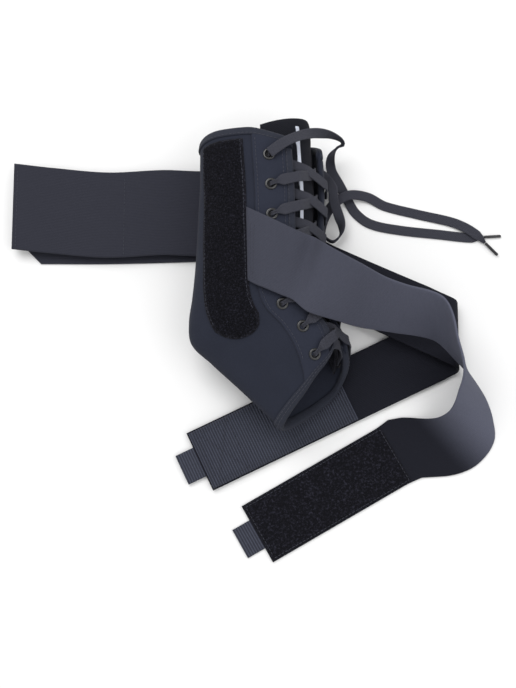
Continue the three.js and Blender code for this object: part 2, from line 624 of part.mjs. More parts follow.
// out and down are shares of LATERAL_REACH, from the swing's start over the boot's front, and foot, the
// height of the lower edge, is a share of LEG_DEPTH. ax, ay and az point over the width, from the lower
// edge to the upper one.
const LATERAL_RUN = [
  { out: 0.13, down: 0.085, foot: 1.01, ax: 0.25, ay: 0.95, az: 0.18 },
  { out: 0.27, down: 0.145, foot: 0.83, ax: 0.17, ay: 0.79, az: 0.59 },
  { out: 0.43, down: 0.19, foot: 0.57, ax: 0.1, ay: 0.64, az: 0.76 },
  { out: 0.58, down: 0.22, foot: 0.44, ax: 0.07, ay: 0.59, az: 0.81 },
  { out: 0.7, down: 0.24, foot: 0.39, ax: 0.06, ay: 0.55, az: 0.83 },
  { out: 0.78, down: 0.27, foot: 0.36, ax: 0, ay: 0.47, az: 0.88 },
  { out: 0.83, down: 0.33, foot: 0.32, ax: -0.06, ay: 0.36, az: 0.93 },
  { out: 0.87, down: 0.42, foot: 0.265, ax: -0.13, ay: 0.15, az: 0.98 },
  { out: 0.915, down: 0.5, foot: 0.2, ax: -0.2, ay: 0, az: 0.98 },
  { out: 0.95, down: 0.575, foot: 0.13, ax: -0.34, ay: 0, az: 0.94 },
  { out: 0.975, down: 0.655, foot: 0.065, ax: -0.52, ay: 0.07, az: 0.85 },
  { out: 0.985, down: 0.735, foot: 0.02, ax: -0.64, ay: 0.19, az: 0.74 },
  { out: 0.98, down: 0.81, foot: 0, ax: -0.75, ay: 0.37, az: 0.54 },
  { out: 0.93, down: 0.87, foot: 0, ax: -0.77, ay: 0.57, az: 0.28 },
  { out: 0.84, down: 0.905, foot: 0, ax: -0.69, ay: 0.72, az: 0.05 },
];
const STRAP_STEP = 11; // between the strap's rows
const STRAP_TURN = Math.PI / 10; // and the most that they turn
const TAIL_HEADING = 209.7; // degrees from +X
const swing = v3(SWING_OUT * LEG_WIDTH, SWING_UP * LEG_HEIGHT, 0);
const flatAcross = (heading) => v3(-Math.abs(sinOf(heading)), Math.abs(cosOf(heading)), 0);
const lateralRun = LATERAL_RUN.map((row) => {
  const rise = (STRAP_WIDTH / 2) * row.az + (STRAP / 2) * Math.sqrt(1 - row.az ** 2);
  return strapRow(
    v3(swing.x + row.out * LATERAL_REACH, swing.y - row.down * LATERAL_REACH, row.foot * LEG_DEPTH + rise),
    v3(row.ax, row.ay, row.az),
  );
});
const tailStart = v3(swing.x + 0.63 * LATERAL_REACH, swing.y - 0.93 * LATERAL_REACH, STRAP / 2);
const tailPoint = (start, heading, distance) =>
  start.clone().add(v3(distance * cosOf(heading), distance * sinOf(heading), 0));
const lateralEnd = tailPoint(tailStart, TAIL_HEADING, LATERAL_TAIL);
const tailRow = strapRow(tailStart, flatAcross(TAIL_HEADING));
const lateralBand = [
  ...smoothed([...lateralStart, ...lateralRun, tailRow], STRAP_STEP, STRAP_TURN),
  strapRow(lateralEnd, flatAcross(TAIL_HEADING)),
];
add("lateral_strap", band(lateralBand), ELASTIC);

// A flat piece on a strap's straight run, from one distance before its end to another past it
function onTail(end, heading, from, to, height, width, thick) {
  const rows = [from, to].map((distance) => ({
    at: tailPoint(end, heading, distance).setZ(height + thick / 2),
    across: flatAcross(heading),
    width,
    thick,
  }));
  return band(rows);
}
const PATCH_WIDTH = STRAP_WIDTH - 2 * PATCH_MARGIN;
const HOOK_FABRIC = cloth(0x26272b, 1);
const WEBBING_FABRIC = cloth(0x2d2f38, 0.7);
const onLateral = (from, to, height, width, thick) =>
  onTail(lateralEnd, TAIL_HEADING, from, to, height, width, thick);
add(
  "lateral_hook_patch",
  onLateral(-HOOK_LENGTH - PATCH_MARGIN, -PATCH_MARGIN, STRAP + GAP, PATCH_WIDTH, HOOK),
  HOOK_FABRIC,
);
add("lateral_pull_tab", onLateral(GAP, GAP + TAB_LENGTH, 0, TAB_WIDTH, STRAP), WEBBING_FABRIC);

// The medial strap comes out from under the boot, folds back on itself and lies flat with its outer face up.
const MEDIAL_TAIL_HEIGHT = HOOK + GAP;
const medialSeam = seamRow(MEDIAL, MEDIAL_AT, MEDIAL_ANGLE, 0);
const medialStart = medialSeam(STRIP_START - 2 * GAP, GAP + STRAP / 2);
const foldX = FRONT + MEDIAL_REACH;
const foldRadius = FOLD_HEIGHT / 2;
const slope = Math.tan(MEDIAL_ANGLE * DEG);
const runY = (x) => medialStart.at.y - (x - medialStart.at.x) * slope;
const lowZ = MEDIAL_TAIL_HEIGHT + STRAP / 2;
const medialRun = (x, turn) => {
  const share = (x - medialStart.at.x) / (foldX - medialStart.at.x);
  const z = mix(STRAP / 2 + GAP + HOOK, lowZ + FOLD_HEIGHT, ease((share - 0.1) / 0.9));
  return strapRow(v3(x, runY(x), z), v3(sinOf(MEDIAL_ANGLE) * turn, cosOf(MEDIAL_ANGLE), 0));
};
const FOLD_STEPS = 6;
const fold = Array.from({ length: FOLD_STEPS + 1 }, (_, i) => {
  const turn = (180 * i) / FOLD_STEPS;
  const walked = (foldRadius * turn * DEG) / cosOf(MEDIAL_ANGLE);
  const y = runY(foldX) - walked * sinOf(MEDIAL_ANGLE);
  const z = lowZ + foldRadius * (1 + cosOf(turn));
  return strapRow(v3(foldX + foldRadius * sinOf(turn), y, z), v3(0, 1, 0));
});
const medialHeading = 180 + MEDIAL_ANGLE;
const foldEnd = fold[FOLD_STEPS].at;
const medialEnd = tailPoint(foldEnd, medialHeading, MEDIAL_TAIL);
const medialAcross = flatAcross(medialHeading);
const medialBand = [
  medialStart,
  ...[0.12, 0.35, 0.55, 0.75, 0.9].map((share) =>
    medialRun(mix(medialStart.at.x, foldX, share), 1 - ease((share - 0.6) / 0.4)),
  ),
  ...fold,
  strapRow(tailPoint(foldEnd, medialHeading, STRAP_WIDTH / 2), v3(medialAcross.x / 2, medialAcross.y, 0)),
  strapRow(tailPoint(foldEnd, medialHeading, STRAP_WIDTH), medialAcross),
  strapRow(medialEnd, medialAcross),
];
add("medial_strap", band(medialBand), ELASTIC);
const onMedial = (from, to, height, width, thick) =>
  onTail(medialEnd, medialHeading, from, to, height, width, thick);
add(
  "medial_hook_patch",
  onMedial(-HOOK_LENGTH - PATCH_MARGIN, -PATCH_MARGIN, 0, PATCH_WIDTH, HOOK),
  HOOK_FABRIC,
);
add(
  "medial_webbing_end",
  onMedial(-WEBBING_LENGTH, -PATCH_MARGIN, MEDIAL_TAIL_HEIGHT + STRAP + GAP, PATCH_WIDTH, WEBBING),
  WEBBING_FABRIC,
);
add("medial_pull_tab", onMedial(GAP, GAP + TAB_LENGTH, MEDIAL_TAIL_HEIGHT, TAB_WIDTH, TAB), WEBBING_FABRIC);

// The cuff is folded under the boot's back, and its two wings lie one above the other.
// out and side are shares of each wing's length, and lift one of CUFF_OPEN over the lower wing.
const UPPER_WING = [
  { out: 1, side: 0.035, lift: 1.45 },
  { out: 0.8, side: 0.015, lift: 1.2 },
  { out: 0.5, side: -0.008, lift: 1.05 },
  { out: 0.2, side: 0.006, lift: 1.03 },
  { out: 0.03, side: 0, lift: 1.02 },
];
const cuffY = LEG_HEIGHT - CUFF_AT;
const backX = -FRONT + 0.05 * LEG_WIDTH;
const foldBack = backX + CUFF_TUCK - CUFF_OPEN / 2;
const cuffRow = (x, y, z, width = CUFF_WIDTH) => ({
  at: v3(x, y, z),
  across: v3(0, 1, 0),
  width,
  thick: CUFF,
});
const upperWing = UPPER_WING.map((row) =>
  cuffRow(backX - row.out * CUFF_LENGTH, cuffY + row.side * CUFF_LENGTH, CUFF / 2 + CUFF_OPEN * row.lift),
);
const cuffFold = Array.from({ length: FOLD_STEPS + 1 }, (_, i) => {
  const turn = (180 * i) / FOLD_STEPS;
  const z = CUFF / 2 + (CUFF_OPEN / 2) * (1 + cosOf(turn));
  return cuffRow(foldBack + (CUFF_OPEN / 2) * sinOf(turn), cuffY - (CUFF_SIDE * i) / FOLD_STEPS / 2, z);
});
const lowerX = backX - CUFF_LOWER;
const lowerWing = [
  cuffRow(backX - CUFF_LOWER / 2, cuffY - CUFF_SIDE, CUFF / 2),
  cuffRow(lowerX + CUFF_CLIP, cuffY - CUFF_SIDE, CUFF / 2),
  cuffRow(lowerX, cuffY - CUFF_SIDE, CUFF / 2, CUFF_WIDTH - 2 * CUFF_CLIP),
];
add("cuff_band", band([...smoothed(upperWing, CUFF_STEP), ...cuffFold, ...lowerWing]), ELASTIC);
const patchRows = [1, 1 - CUFF_PATCH / CUFF_LENGTH / 2, 1 - CUFF_PATCH / CUFF_LENGTH];
const outward = [...UPPER_WING].reverse();
const wingAt = (name) => smooth(outward.map((row) => row.out), outward.map((row) => row[name]));
const [sideAt, liftAt] = [wingAt("side"), wingAt("lift")];
add(
  "cuff_patch",
  band(
    patchRows.map((out) => ({
      at: v3(
        backX - out * CUFF_LENGTH + PATCH_MARGIN,
        cuffY + sideAt(out) * CUFF_LENGTH,
        CUFF_OPEN * liftAt(out) - GAP - HOOK / 2 - CUFF_PATCH_DROP,
      ),
      across: v3(0, 1, 0),
      width: CUFF_WIDTH - 2 * PATCH_MARGIN,
      thick: HOOK,
    })),
  ),
  HOOK_FABRIC,
);

// The lace's two free ends lie as chosen. stand turns the flat lace up on its edge, in degrees.
const free = (points) =>
  points.map(([x, y, z, stand], i) => {
    const before = points[Math.max(i - 1, 0)];
    const after = points[Math.min(i + 1, points.length - 1)];
    const level = v3(before[1] - after[1], after[0] - before[0], 0).normalize();
    const across = level.multiplyScalar(cosOf(stand)).setZ(sinOf(stand));
    return { at: v3(x, y, z), across, width: LACE_WIDTH, thick: LACE };
  });
const topEyelet = (side) => {
  const angle = eyeletAngle(ROWS[0], side);
  return [skin(ROWS[0], angle, FREE_START), skinFrame(ROWS[0], angle)];
};
const LACE_TURN = Math.PI / 9;
const LACE_END_A = [
  [20, 150, 73.5, 0],
  [31, 157, 67, 0],
  [43, 163, 56, 30],
  [55, 166, 44, 70],
  [64, 165.5, 35, 90],
  [67, 163.5, 29, 90],
  [63, 161, 23, 80],
  [59, 155, 16, 40],
  [60, 147, 10, 10],
  [66, 138, 5, 0],
  [73, 126, 1.2, 0],
  [80, 114, 0.8, 0],
  [92, 105, 0.8, 0],
  [114, 100, 0.8, 0],
  [149, 96, 0.8, 0],
  [172, 93.5, 0.8, 0],
  [184, 94, 1.2, 0],
];
const LACE_END_B = [
  [55, 140, 13, 0],
  [60, 131, 17, 0],
  [61, 120, 17, 0],
  [65, 109, 14, 10],
  [67.5, 101, 11, 50],
  [66.5, 93.5, 8, 85],
  [60.6, 88.6, 7.2, 90],
  [54.6, 92.6, 7.4, 85],
  [53.2, 101.5, 8, 55],
  [56.4, 112.6, 8.8, 20],
  [64, 122, 7.5, 0],
  [75, 128, 6, 0],
  [90, 127, 2.5, 0],
  [104, 120, 0.8, 0],
  [131, 113, 0.8, 0],
  [158, 106.5, 1.5, 0],
  [170, 101, 2.8, 0],
  [180, 94, 2.8, 0],
  [185, 89, 2.2, 0],
];
function freeEnd(side, points) {
  const [start] = topEyelet(side);
  const rows = free([[start.x, start.y, start.z, 0], ...points]);
  rows[0].across = skinFrame(ROWS[0], eyeletAngle(ROWS[0], side)).along;
  if (rows[0].across.dot(rows[1].across) < 0) rows[0].across.negate();
  return squared(smoothed(rows, 16, LACE_TURN));
}
[
  { name: "a", side: LATERAL, points: LACE_END_A },
  { name: "b", side: MEDIAL, points: LACE_END_B },
].forEach(({ name, side, points }) => {
  const rows = freeEnd(side, points);
  const last = rows.length - 1;
  rows[last].width = AGLET;
  add(`lace_end_${name}`, band(rows), LACE_FABRIC);
  const travel = travelAt(rows, last).setZ(0).normalize();
  const tip = new THREE.CylinderGeometry(AGLET / 2, AGLET / 2, AGLET_LENGTH, 8);
  const turn = new THREE.Quaternion().setFromUnitVectors(v3(0, 1, 0), travel);
  const at = rows[last].at.clone().addScaledVector(travel, GAP + AGLET_LENGTH / 2);
  tip.applyQuaternion(turn).translate(at.x, at.y, Math.max(at.z, AGLET / 2));
  add(`aglet_${name}`, tip, cloth(0x26282c, 0.35));
});

// The origin is in the middle of the brace, on the table, with the lace's free ends left out of account.
const extent = new THREE.Box3();
brace.children
  .filter((mesh) => !/^(lace_end|aglet)_/.test(mesh.name))
  .forEach((mesh) => extent.expandByObject(mesh, true));
const middle = extent.getCenter(v3(0, 0, 0));
brace.children.forEach((mesh) => mesh.geometry.translate(-middle.x, -middle.y, -extent.min.z));

export default brace;
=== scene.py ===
# The looks of a lace-up ankle brace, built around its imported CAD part. Lengths are in metres.
# The boot's skin, the straps and the lace's ends repeat the part's own sections, tables and points.
import functools
import math

import bmesh
import bpy
import numpy as np
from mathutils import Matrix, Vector


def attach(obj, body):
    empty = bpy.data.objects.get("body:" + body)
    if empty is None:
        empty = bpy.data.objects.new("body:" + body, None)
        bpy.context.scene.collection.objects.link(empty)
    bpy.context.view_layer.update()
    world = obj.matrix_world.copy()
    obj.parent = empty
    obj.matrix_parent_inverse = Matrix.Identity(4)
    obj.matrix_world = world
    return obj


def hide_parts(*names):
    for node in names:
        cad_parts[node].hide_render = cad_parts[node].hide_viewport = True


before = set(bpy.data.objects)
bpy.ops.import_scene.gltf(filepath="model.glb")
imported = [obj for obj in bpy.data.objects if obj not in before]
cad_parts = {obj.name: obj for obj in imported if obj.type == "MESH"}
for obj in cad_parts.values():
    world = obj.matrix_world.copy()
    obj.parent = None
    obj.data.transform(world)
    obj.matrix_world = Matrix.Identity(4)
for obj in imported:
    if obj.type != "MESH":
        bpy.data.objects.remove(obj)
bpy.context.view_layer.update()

bl_info = {
    "name": "Lace-up ankle brace",
    "version": (1, 0, 0),
    "blender": (4, 2, 0),
    "location": "View3D > Sidebar > Ankle brace",
    "description": "Builds a padded ankle brace with laces, straps and a cuff around its CAD frame",
    "category": "Object",
}

MM = 0.001
SHIFT = np.array([4.4011, -5.0864, 0.0])  # from the part's own coordinates to the frame's, in millimetres

# The part's sizes, in millimetres
LEG_HEIGHT = 173.0
LEG_WIDTH = 95.0
LEG_DEPTH = 68.0
SOLE_LENGTH = 96.0
SOLE_ANGLE = -43.0
WALL = 3.2
SQUARENESS = 2.3
RIM_DROP = 9.0
RIM_DIP_BACK = 4.0
RIM_DIP_FRONT = 7.0
TOE_CORNER = 15.0
TOP_CORNER = 9.0
TOE_SWEEP = 6.0
GAP = 0.45
TAPE = 0.7
BINDING_WIDTH = 6.5
FACING_WIDTH = 23.0
FACING = 1.0
STRIP_START = 38.5
STRIP_WIDTH = 35.0
STRIP_LENGTH = 152.0
STRIP_BELOW_RIM = 3.0
PILE = 1.8
EYELET_ROWS = 8
EYELET_INSET = 18.5
EYELET_FIRST = 0.185 * LEG_HEIGHT
EYELET_PITCH = 0.133 * LEG_HEIGHT
EYELET_BORE = 2.4
EYELET_BARREL = 0.5
EYELET_FLANGE = 1.7
EYELET_METAL = 0.6
LACE_WIDTH = 8.0
LACE = 1.3
LACE_BUNCHED = 3.4
LACE_SLACK = 0.9
AGLET_LENGTH = 14.0
AGLET = 2.4
TONGUE = 3.5
TONGUE_TUCK = 24.0
TONGUE_ABOVE = 8.0
TONGUE_SHORT = 14.0
STRIPE_WIDTH = 4.0
STRIPE_LENGTH = 92.0
STRIPE = 0.5
STRAP_WIDTH = 50.0
STRAP = 1.9
LATERAL_AT = 99.0
MEDIAL_AT = 103.0
STRAP_SLANT = 36.0
STRAP_LEAN = 10.0
SWING_OUT = 0.26
SWING_UP = 0.333
LATERAL_REACH = 146.0
LATERAL_TAIL = 135.0
TAIL_HEADING = 209.7
MEDIAL_REACH = 103.0
MEDIAL_TAIL = 222.0
MEDIAL_ANGLE = 25.5
FOLD_HEIGHT = 10.0
HOOK_LENGTH = 125.0
HOOK = 1.6
PATCH_MARGIN = 1.2
WEBBING_LENGTH = 128.0
WEBBING = 1.1
TAB_WIDTH = 25.0
TAB_LENGTH = 15.0
TAB = 1.4
CUFF_WIDTH = 71.0
CUFF_AT = 61.0
CUFF_TUCK = 19.2
CUFF = 2.0
CUFF_LENGTH = 152.0
CUFF_LOWER = 141.0
CUFF_OPEN = 7.0
CUFF_SIDE = 5.0
CUFF_CLIP = 11.0
CUFF_PATCH = 90.0

BOOT_LIFT = GAP + PILE + GAP
STRAP_STACK = HOOK + GAP + STRAP + GAP + WEBBING
TOE_LIFT = STRAP_STACK + GAP + FACING + GAP
FRONT = LEG_WIDTH * 0.54

# One section of the boot in each row, with the part's own columns.
SECTION_COLUMNS = (
    "leg", "sole", "bow", "width", "tilt", "depth", "pinch", "lean", "prop", "lateral", "medial",
)
SECTIONS = (
    (1, 0, 0.07, 0.985, 0, 0.97, 0.05, 0, 0, 62, 4),
    (0.85, 0, 0.063, 1, 1, 1, 0.05, 0, 0, 61, 4),
    (0.67, 0, 0.053, 1.03, 2.5, 1, 0.06, 0, 0, 60, 3),
    (0.49, 0, 0.042, 1.035, 6, 0.985, 0.08, 0, 0, 58, 2),
    (0.347, 0, 0.026, 1.05, 9.2, 0.97, 0.12, 0, 0, 56, 0),
    (0.208, 0, -0.005, 1.085, 12.5, 0.97, 0.2, 2, 0.05, 54, -2),
    (0.098, 0, -0.026, 1.12, 15, 0.96, 0.28, 4, 0.2, 51, -4),
    (0, 0, 0, 1.14, 18.3, 0.94, 0.38, 7, 0.4, 47, -6),
    (0, 0.22, 0, 1.074, 22.2, 0.91, 0.46, 11, 0.65, 44, -8),
    (0, 0.5, 0, 0.975, 28.4, 0.88, 0.5, 15, 0.9, 42, -9),
    (0, 0.79, 0, 0.853, 36.7, 0.85, 0.53, 19, 1, 42, -10),
    (0, 1, 0, 0.737, 43.3, 0.82, 0.55, 22, 1, 44, -10),
)

# The lace's two free ends lie as chosen: x, y, z and how far the flat lace stands up on its edge.
LACE_END_A = (
    (20, 150, 73.5, 0),
    (31, 157, 67, 0),
    (43, 163, 56, 30),
    (55, 166, 44, 70),
    (64, 165.5, 35, 90),
    (67, 163.5, 29, 90),
    (63, 161, 23, 80),
    (59, 155, 16, 40),
    (60, 147, 10, 10),
    (66, 138, 5, 0),
    (73, 126, 1.2, 0),
    (80, 114, 0.8, 0),
    (92, 105, 0.8, 0),
    (114, 100, 0.8, 0),
    (149, 96, 0.8, 0),
    (172, 93.5, 0.8, 0),
    (184, 94, 1.2, 0),
)
LACE_END_B = (
    (55, 140, 13, 0),
    (60, 131, 17, 0),
    (61, 120, 17, 0),
    (65, 109, 14, 10),
    (67.5, 101, 11, 50),
    (66.5, 93.5, 8, 85),
    (60.6, 88.6, 7.2, 90),
    (54.6, 92.6, 7.4, 85),
    (53.2, 101.5, 8, 55),
    (56.4, 112.6, 8.8, 20),
    (64, 122, 7.5, 0),
    (75, 128, 6, 0),
    (90, 127, 2.5, 0),
    (104, 120, 0.8, 0),
    (131, 113, 0.8, 0),
    (158, 106.5, 1.5, 0),
    (170, 101, 2.8, 0),
    (180, 94, 2.8, 0),
    (185, 89, 2.2, 0),
)

# out and down are shares of LATERAL_REACH and foot is one of LEG_DEPTH; the last three point over its width.
LATERAL_RUN = (
    (0.13, 0.085, 1.01, 0.25, 0.95, 0.18),
    (0.27, 0.145, 0.83, 0.17, 0.79, 0.59),
    (0.43, 0.19, 0.57, 0.1, 0.64, 0.76),
    (0.58, 0.22, 0.44, 0.07, 0.59, 0.81),
    (0.7, 0.24, 0.39, 0.06, 0.55, 0.83),
    (0.78, 0.27, 0.36, 0, 0.47, 0.88),
    (0.83, 0.33, 0.32, -0.06, 0.36, 0.93),
    (0.87, 0.42, 0.265, -0.13, 0.15, 0.98),
    (0.915, 0.5, 0.2, -0.2, 0, 0.98),
    (0.95, 0.575, 0.13, -0.34, 0, 0.94),
    (0.975, 0.655, 0.065, -0.52, 0.07, 0.85),
    (0.985, 0.735, 0.02, -0.64, 0.19, 0.74),
    (0.98, 0.81, 0, -0.75, 0.37, 0.54),
    (0.93, 0.87, 0, -0.77, 0.57, 0.28),
    (0.84, 0.905, 0, -0.69, 0.72, 0.05),
)

# out and side are shares of the upper wing's length, and lift is one of CUFF_OPEN.
UPPER_WING = (
    (1, 0.035, 1.45),
    (0.8, 0.015, 1.2),
    (0.5, -0.008, 1.05),
    (0.2, 0.006, 1.03),
    (0.03, 0, 1.02),
)


# Curves and small vector helpers
def smooth(places, values):
    """A smooth curve through values at rising places, straight past both ends."""
    places = np.array(places, float)
    values = np.array(values, float)
    last = len(places) - 1
    low = np.maximum(np.arange(last + 1) - 1, 0)
    high = np.minimum(np.arange(last + 1) + 1, last)
    slopes = (values[high] - values[low]) / (places[high] - places[low])

    def curve(at):
        at = np.asarray(at, float)
        i = np.clip(np.searchsorted(places, at, side="left") - 1, 0, last - 1)
        span = places[i + 1] - places[i]
        t = np.clip((at - places[i]) / span, 0, 1)
        bend = t * t * (3 - 2 * t)
        swing = slopes[i] * t * (1 - t) ** 2 - slopes[i + 1] * t * t * (1 - t)
        inside = values[i] + (values[i + 1] - values[i]) * bend + span * swing
        before = np.minimum(at - places[0], 0) * slopes[0]
        after = np.maximum(at - places[last], 0) * slopes[last]
        return inside + before + after

    return curve


def ease(t):
    c = np.clip(t, 0, 1)
    return c * c * (3 - 2 * c)


def mix(a, b, share):
    return a + (b - a) * share


def cos(angle):
    return np.cos(np.radians(angle))


def sin(angle):
    return np.sin(np.radians(angle))


def unit(v):
    v = np.asarray(v, float)
    return v / np.maximum(np.linalg.norm(v, axis=-1, keepdims=True), 1e-9)


def vec(x, y, z):
    return np.array([x, y, z], float)


def stack(x, y, z):
    return np.stack(np.broadcast_arrays(x, y, z), axis=-1)


def walked_along(points):
    """The distance walked from the first point to each."""
    return np.concatenate([[0.0], np.cumsum(np.linalg.norm(np.diff(points, axis=0), axis=1))])


# The boot's skin
ROW = {name: np.array([s[i] for s in SECTIONS], float) for i, name in enumerate(SECTION_COLUMNS)}
BACKS = stack(
    -FRONT + ROW["bow"] * LEG_WIDTH + ROW["sole"] * SOLE_LENGTH * cos(SOLE_ANGLE),
    ROW["leg"] * LEG_HEIGHT + ROW["sole"] * SOLE_LENGTH * sin(SOLE_ANGLE),
    0.0,
)
HALVES = ROW["width"] * LEG_WIDTH / 2
CENTRES = BACKS + stack(HALVES * cos(ROW["tilt"]), HALVES * sin(ROW["tilt"]), 0.0)
STATIONS = walked_along(CENTRES)
TOE = float(STATIONS[-1])
COLUMN = {
    name: smooth(STATIONS, ROW[name])
    for name in ("width", "tilt", "depth", "pinch", "lean", "prop", "lateral", "medial")
}
CENTRE_X = smooth(STATIONS, CENTRES[:, 0])
CENTRE_Y = smooth(STATIONS, CENTRES[:, 1])
NUDGE = 0.5
PINCH_POWER = 1.5
ANGLE_REACH = 140  # degrees that a search goes round the skin, and its step
ANGLE_STEP = 2.0
GIRTH_SHARE = 1.35
RIM_DIP_AT = 0.42  # shares of the way round
RIM_DIP_SPAN = 0.2
FRONT_DIP_SPAN = 30  # millimetres from a front edge
TOE_SWEEP_SPAN = 45
LATERAL = 1
MEDIAL = -1


def skin_point(s, angle):
    """A point of the skin, s along the boot from its top and at an angle round it: 90 is up."""
    tilt = COLUMN["tilt"](s)
    lean = COLUMN["lean"](s)
    c, n = cos(angle), sin(angle)
    rounded = (np.abs(c) ** SQUARENESS + np.abs(n) ** SQUARENESS) ** (-1 / SQUARENESS)
    rise = COLUMN["depth"](s) * LEG_DEPTH / 2

    def narrowing(at):
        return 1 - COLUMN["pinch"](s) * np.maximum((1 - at) / 2, 0) ** PINCH_POWER

    across = c * rounded * COLUMN["width"](s) * LEG_WIDTH / 2
    up = n * rounded * rise * narrowing(c * rounded)
    return stack(
        CENTRE_X(s) + across * cos(tilt) - up * sin(lean) * sin(tilt),
        CENTRE_Y(s) + across * sin(tilt) + up * sin(lean) * cos(tilt),
        mix(BOOT_LIFT, TOE_LIFT, COLUMN["prop"](s)) + (rise * narrowing(0.5) + up) * cos(lean),
    )


def skin_frame(s, angle):
    """The skin's three directions at a place: along the boot, round it and out of it."""
    along = unit(skin_point(s + NUDGE, angle) - skin_point(s - NUDGE, angle))
    turn = unit(skin_point(s, angle + NUDGE) - skin_point(s, angle - NUDGE))
    return along, turn, unit(np.cross(turn, along))


def skin(s, angle, lift):
    s, angle, lift = np.broadcast_arrays(s, angle, lift)
    return skin_point(s, angle) + skin_frame(s, angle)[2] * lift[..., None]


def edge_angle(s, side):
    return COLUMN["lateral"](s) if side == LATERAL else COLUMN["medial"](s) + 360


def angle_from(s, side, distance):
    """The angle at a distance over the skin from a front edge, towards the back."""
    s, distance = np.broadcast_arrays(np.asarray(s, float), np.asarray(distance, float))
    start = edge_angle(s, side)
    steps = np.arange(0, ANGLE_REACH + 1, ANGLE_STEP)
    shape = (len(steps),) + (1,) * s.ndim
    angles = start + side * steps.reshape(shape)
    points = skin_point(np.broadcast_to(s, angles.shape), angles)
    chords = np.linalg.norm(np.diff(points, axis=0), axis=-1)
    walked = np.concatenate([np.zeros((1,) + s.shape), np.cumsum(chords, axis=0)])
    k = np.clip((walked <= distance).sum(axis=0) - 1, 0, len(steps) - 2)
    low = np.take_along_axis(walked, k[None], axis=0)[0]
    high = np.take_along_axis(walked, k[None] + 1, axis=0)[0]
    return start + side * (steps[k] + ANGLE_STEP * (distance - low) / (high - low))


def share_angle(s, share):
    """A share of the way round, from the lateral front edge over the back to the medial one."""
    return mix(edge_angle(s, LATERAL), edge_angle(s, MEDIAL), share)


def angle_share(s, angle):
    lateral = edge_angle(s, LATERAL)
    return (angle - lateral) / (edge_angle(s, MEDIAL) - lateral)


GIRTH = (LEG_WIDTH + LEG_DEPTH) * GIRTH_SHARE


def from_edge(share):
    return np.maximum(np.minimum(share, 1 - share), 0) * GIRTH


def corner(distance, radius):
    inside = np.clip(radius - distance, 0, radius)
    return radius - np.sqrt(radius * radius - inside**2)


def rim_top(share):
    back = RIM_DIP_BACK * ease(1 - np.abs(share - RIM_DIP_AT) / RIM_DIP_SPAN)
    front = RIM_DIP_FRONT * ease(1 - from_edge(share) / FRONT_DIP_SPAN)
    return RIM_DROP + back + front + corner(from_edge(share), TOP_CORNER) / 2


def rim_toe(share):
    sweep = TOE_SWEEP * ease(1 - from_edge(share) / TOE_SWEEP_SPAN)
    return TOE - corner(from_edge(share), TOE_CORNER) - sweep


def turned(angle, side):
    return angle - (360 if side == MEDIAL else 0)


def eyelet_rows():
    """Where the eyelet rows lie: a pitch apart over the skin beside the lateral front edge."""
    stations = np.arange(EYELET_FIRST, TOE, 1.0)
    points = skin_point(stations, angle_from(stations, LATERAL, EYELET_INSET))
    return np.interp(np.arange(EYELET_ROWS) * EYELET_PITCH, walked_along(points), stations)


ROWS = eyelet_rows()
BARREL = EYELET_BORE + EYELET_BARREL


def eyelet_angle(s, side):
    return turned(angle_from(s, side, EYELET_INSET), side)


# Heights over the skin
FACING_TOP = GAP + FACING
EYELET_SEAT = FACING_TOP + GAP
EYELET_TOP = EYELET_SEAT + EYELET_METAL
EYELET_FOOT = -WALL - GAP - EYELET_METAL
LACE_OUTSIDE = EYELET_TOP + GAP + LACE / 2
LACE_INSIDE = EYELET_FOOT - GAP - LACE / 2
TONGUE_TOP = LACE_INSIDE - LACE / 2 - GAP - STRIPE - GAP
TONGUE_FOOT = TONGUE_TOP - TONGUE
OVER_EDGE = GAP + TAPE + GAP + LACE / 2
FREE_START = LACE_OUTSIDE + 3 * GAP


# Rows of a band: its middle, the direction over its width, its width and its thickness.
def row(at, across, width, thick):
    return {"at": np.asarray(at, float), "across": np.asarray(across, float), "width": width, "thick": thick}


def travel_of(points):
    ahead = np.concatenate([points[1:], points[-1:]])
    behind = np.concatenate([points[:1], points[:-1]])
    return unit(ahead - behind)


def smoothed(rows, step):
    """The rows' columns along a smooth curve through them, at places about a step apart."""
    at = np.array([r["at"] for r in rows])
    across = unit(np.array([r["across"] for r in rows]))
    sizes = np.array([[r["width"], r["thick"]] for r in rows], float)
    lengths = np.maximum(np.linalg.norm(np.diff(at, axis=0), axis=1), 0.1)
    places = np.concatenate([[0.0], np.cumsum(lengths)])
    table = np.hstack([at, across, sizes])
    wanted = np.linspace(0, places[-1], max(2, int(round(places[-1] / step)) + 1))
    out = np.stack([smooth(places, table[:, k])(wanted) for k in range(table.shape[1])], axis=1)
    return [row(r[:3], r[3:6], r[6], r[7]) for r in out]


def squared(rows):
    """The same rows with each across turned square to the band."""
    travel = travel_of(np.array([r["at"] for r in rows]))
    for r, t in zip(rows, travel):
        r["across"] = unit(r["across"] - t * np.dot(r["across"], t))
    return rows


# Meshes
ORDER_DIGITS = 7  # a new grid's points are told apart by this many digits
WELD = 1e-6  # in metres
THREAD_WELD = 2e-6


def linked(name, data):
    piece = bpy.data.objects.new(name, data)
    bpy.context.scene.collection.objects.link(piece)
    return piece


def new_object(name, mesh, look):
    piece = linked(name, mesh)
    mesh.materials.append(look)
    for polygon in mesh.polygons:
        polygon.use_smooth = True
    return piece


def added(name, mesh, finish, slot=None):
    """A piece that rides on the brace, with its finish; the slot is not used."""
    piece = new_object(name, mesh, material(finish))
    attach(piece, "root")
    return (piece, slot or finish)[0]


def sewn(name, mesh, finish, *nodes, slot=None):
    """An added piece that stands for its CAD nodes."""
    piece = added(name, mesh, finish, slot)
    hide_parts(*nodes)
    return piece


def made_mesh(name, bm):
    mesh = bpy.data.meshes.new(name)
    bm.to_mesh(mesh)
    bm.free()
    return mesh


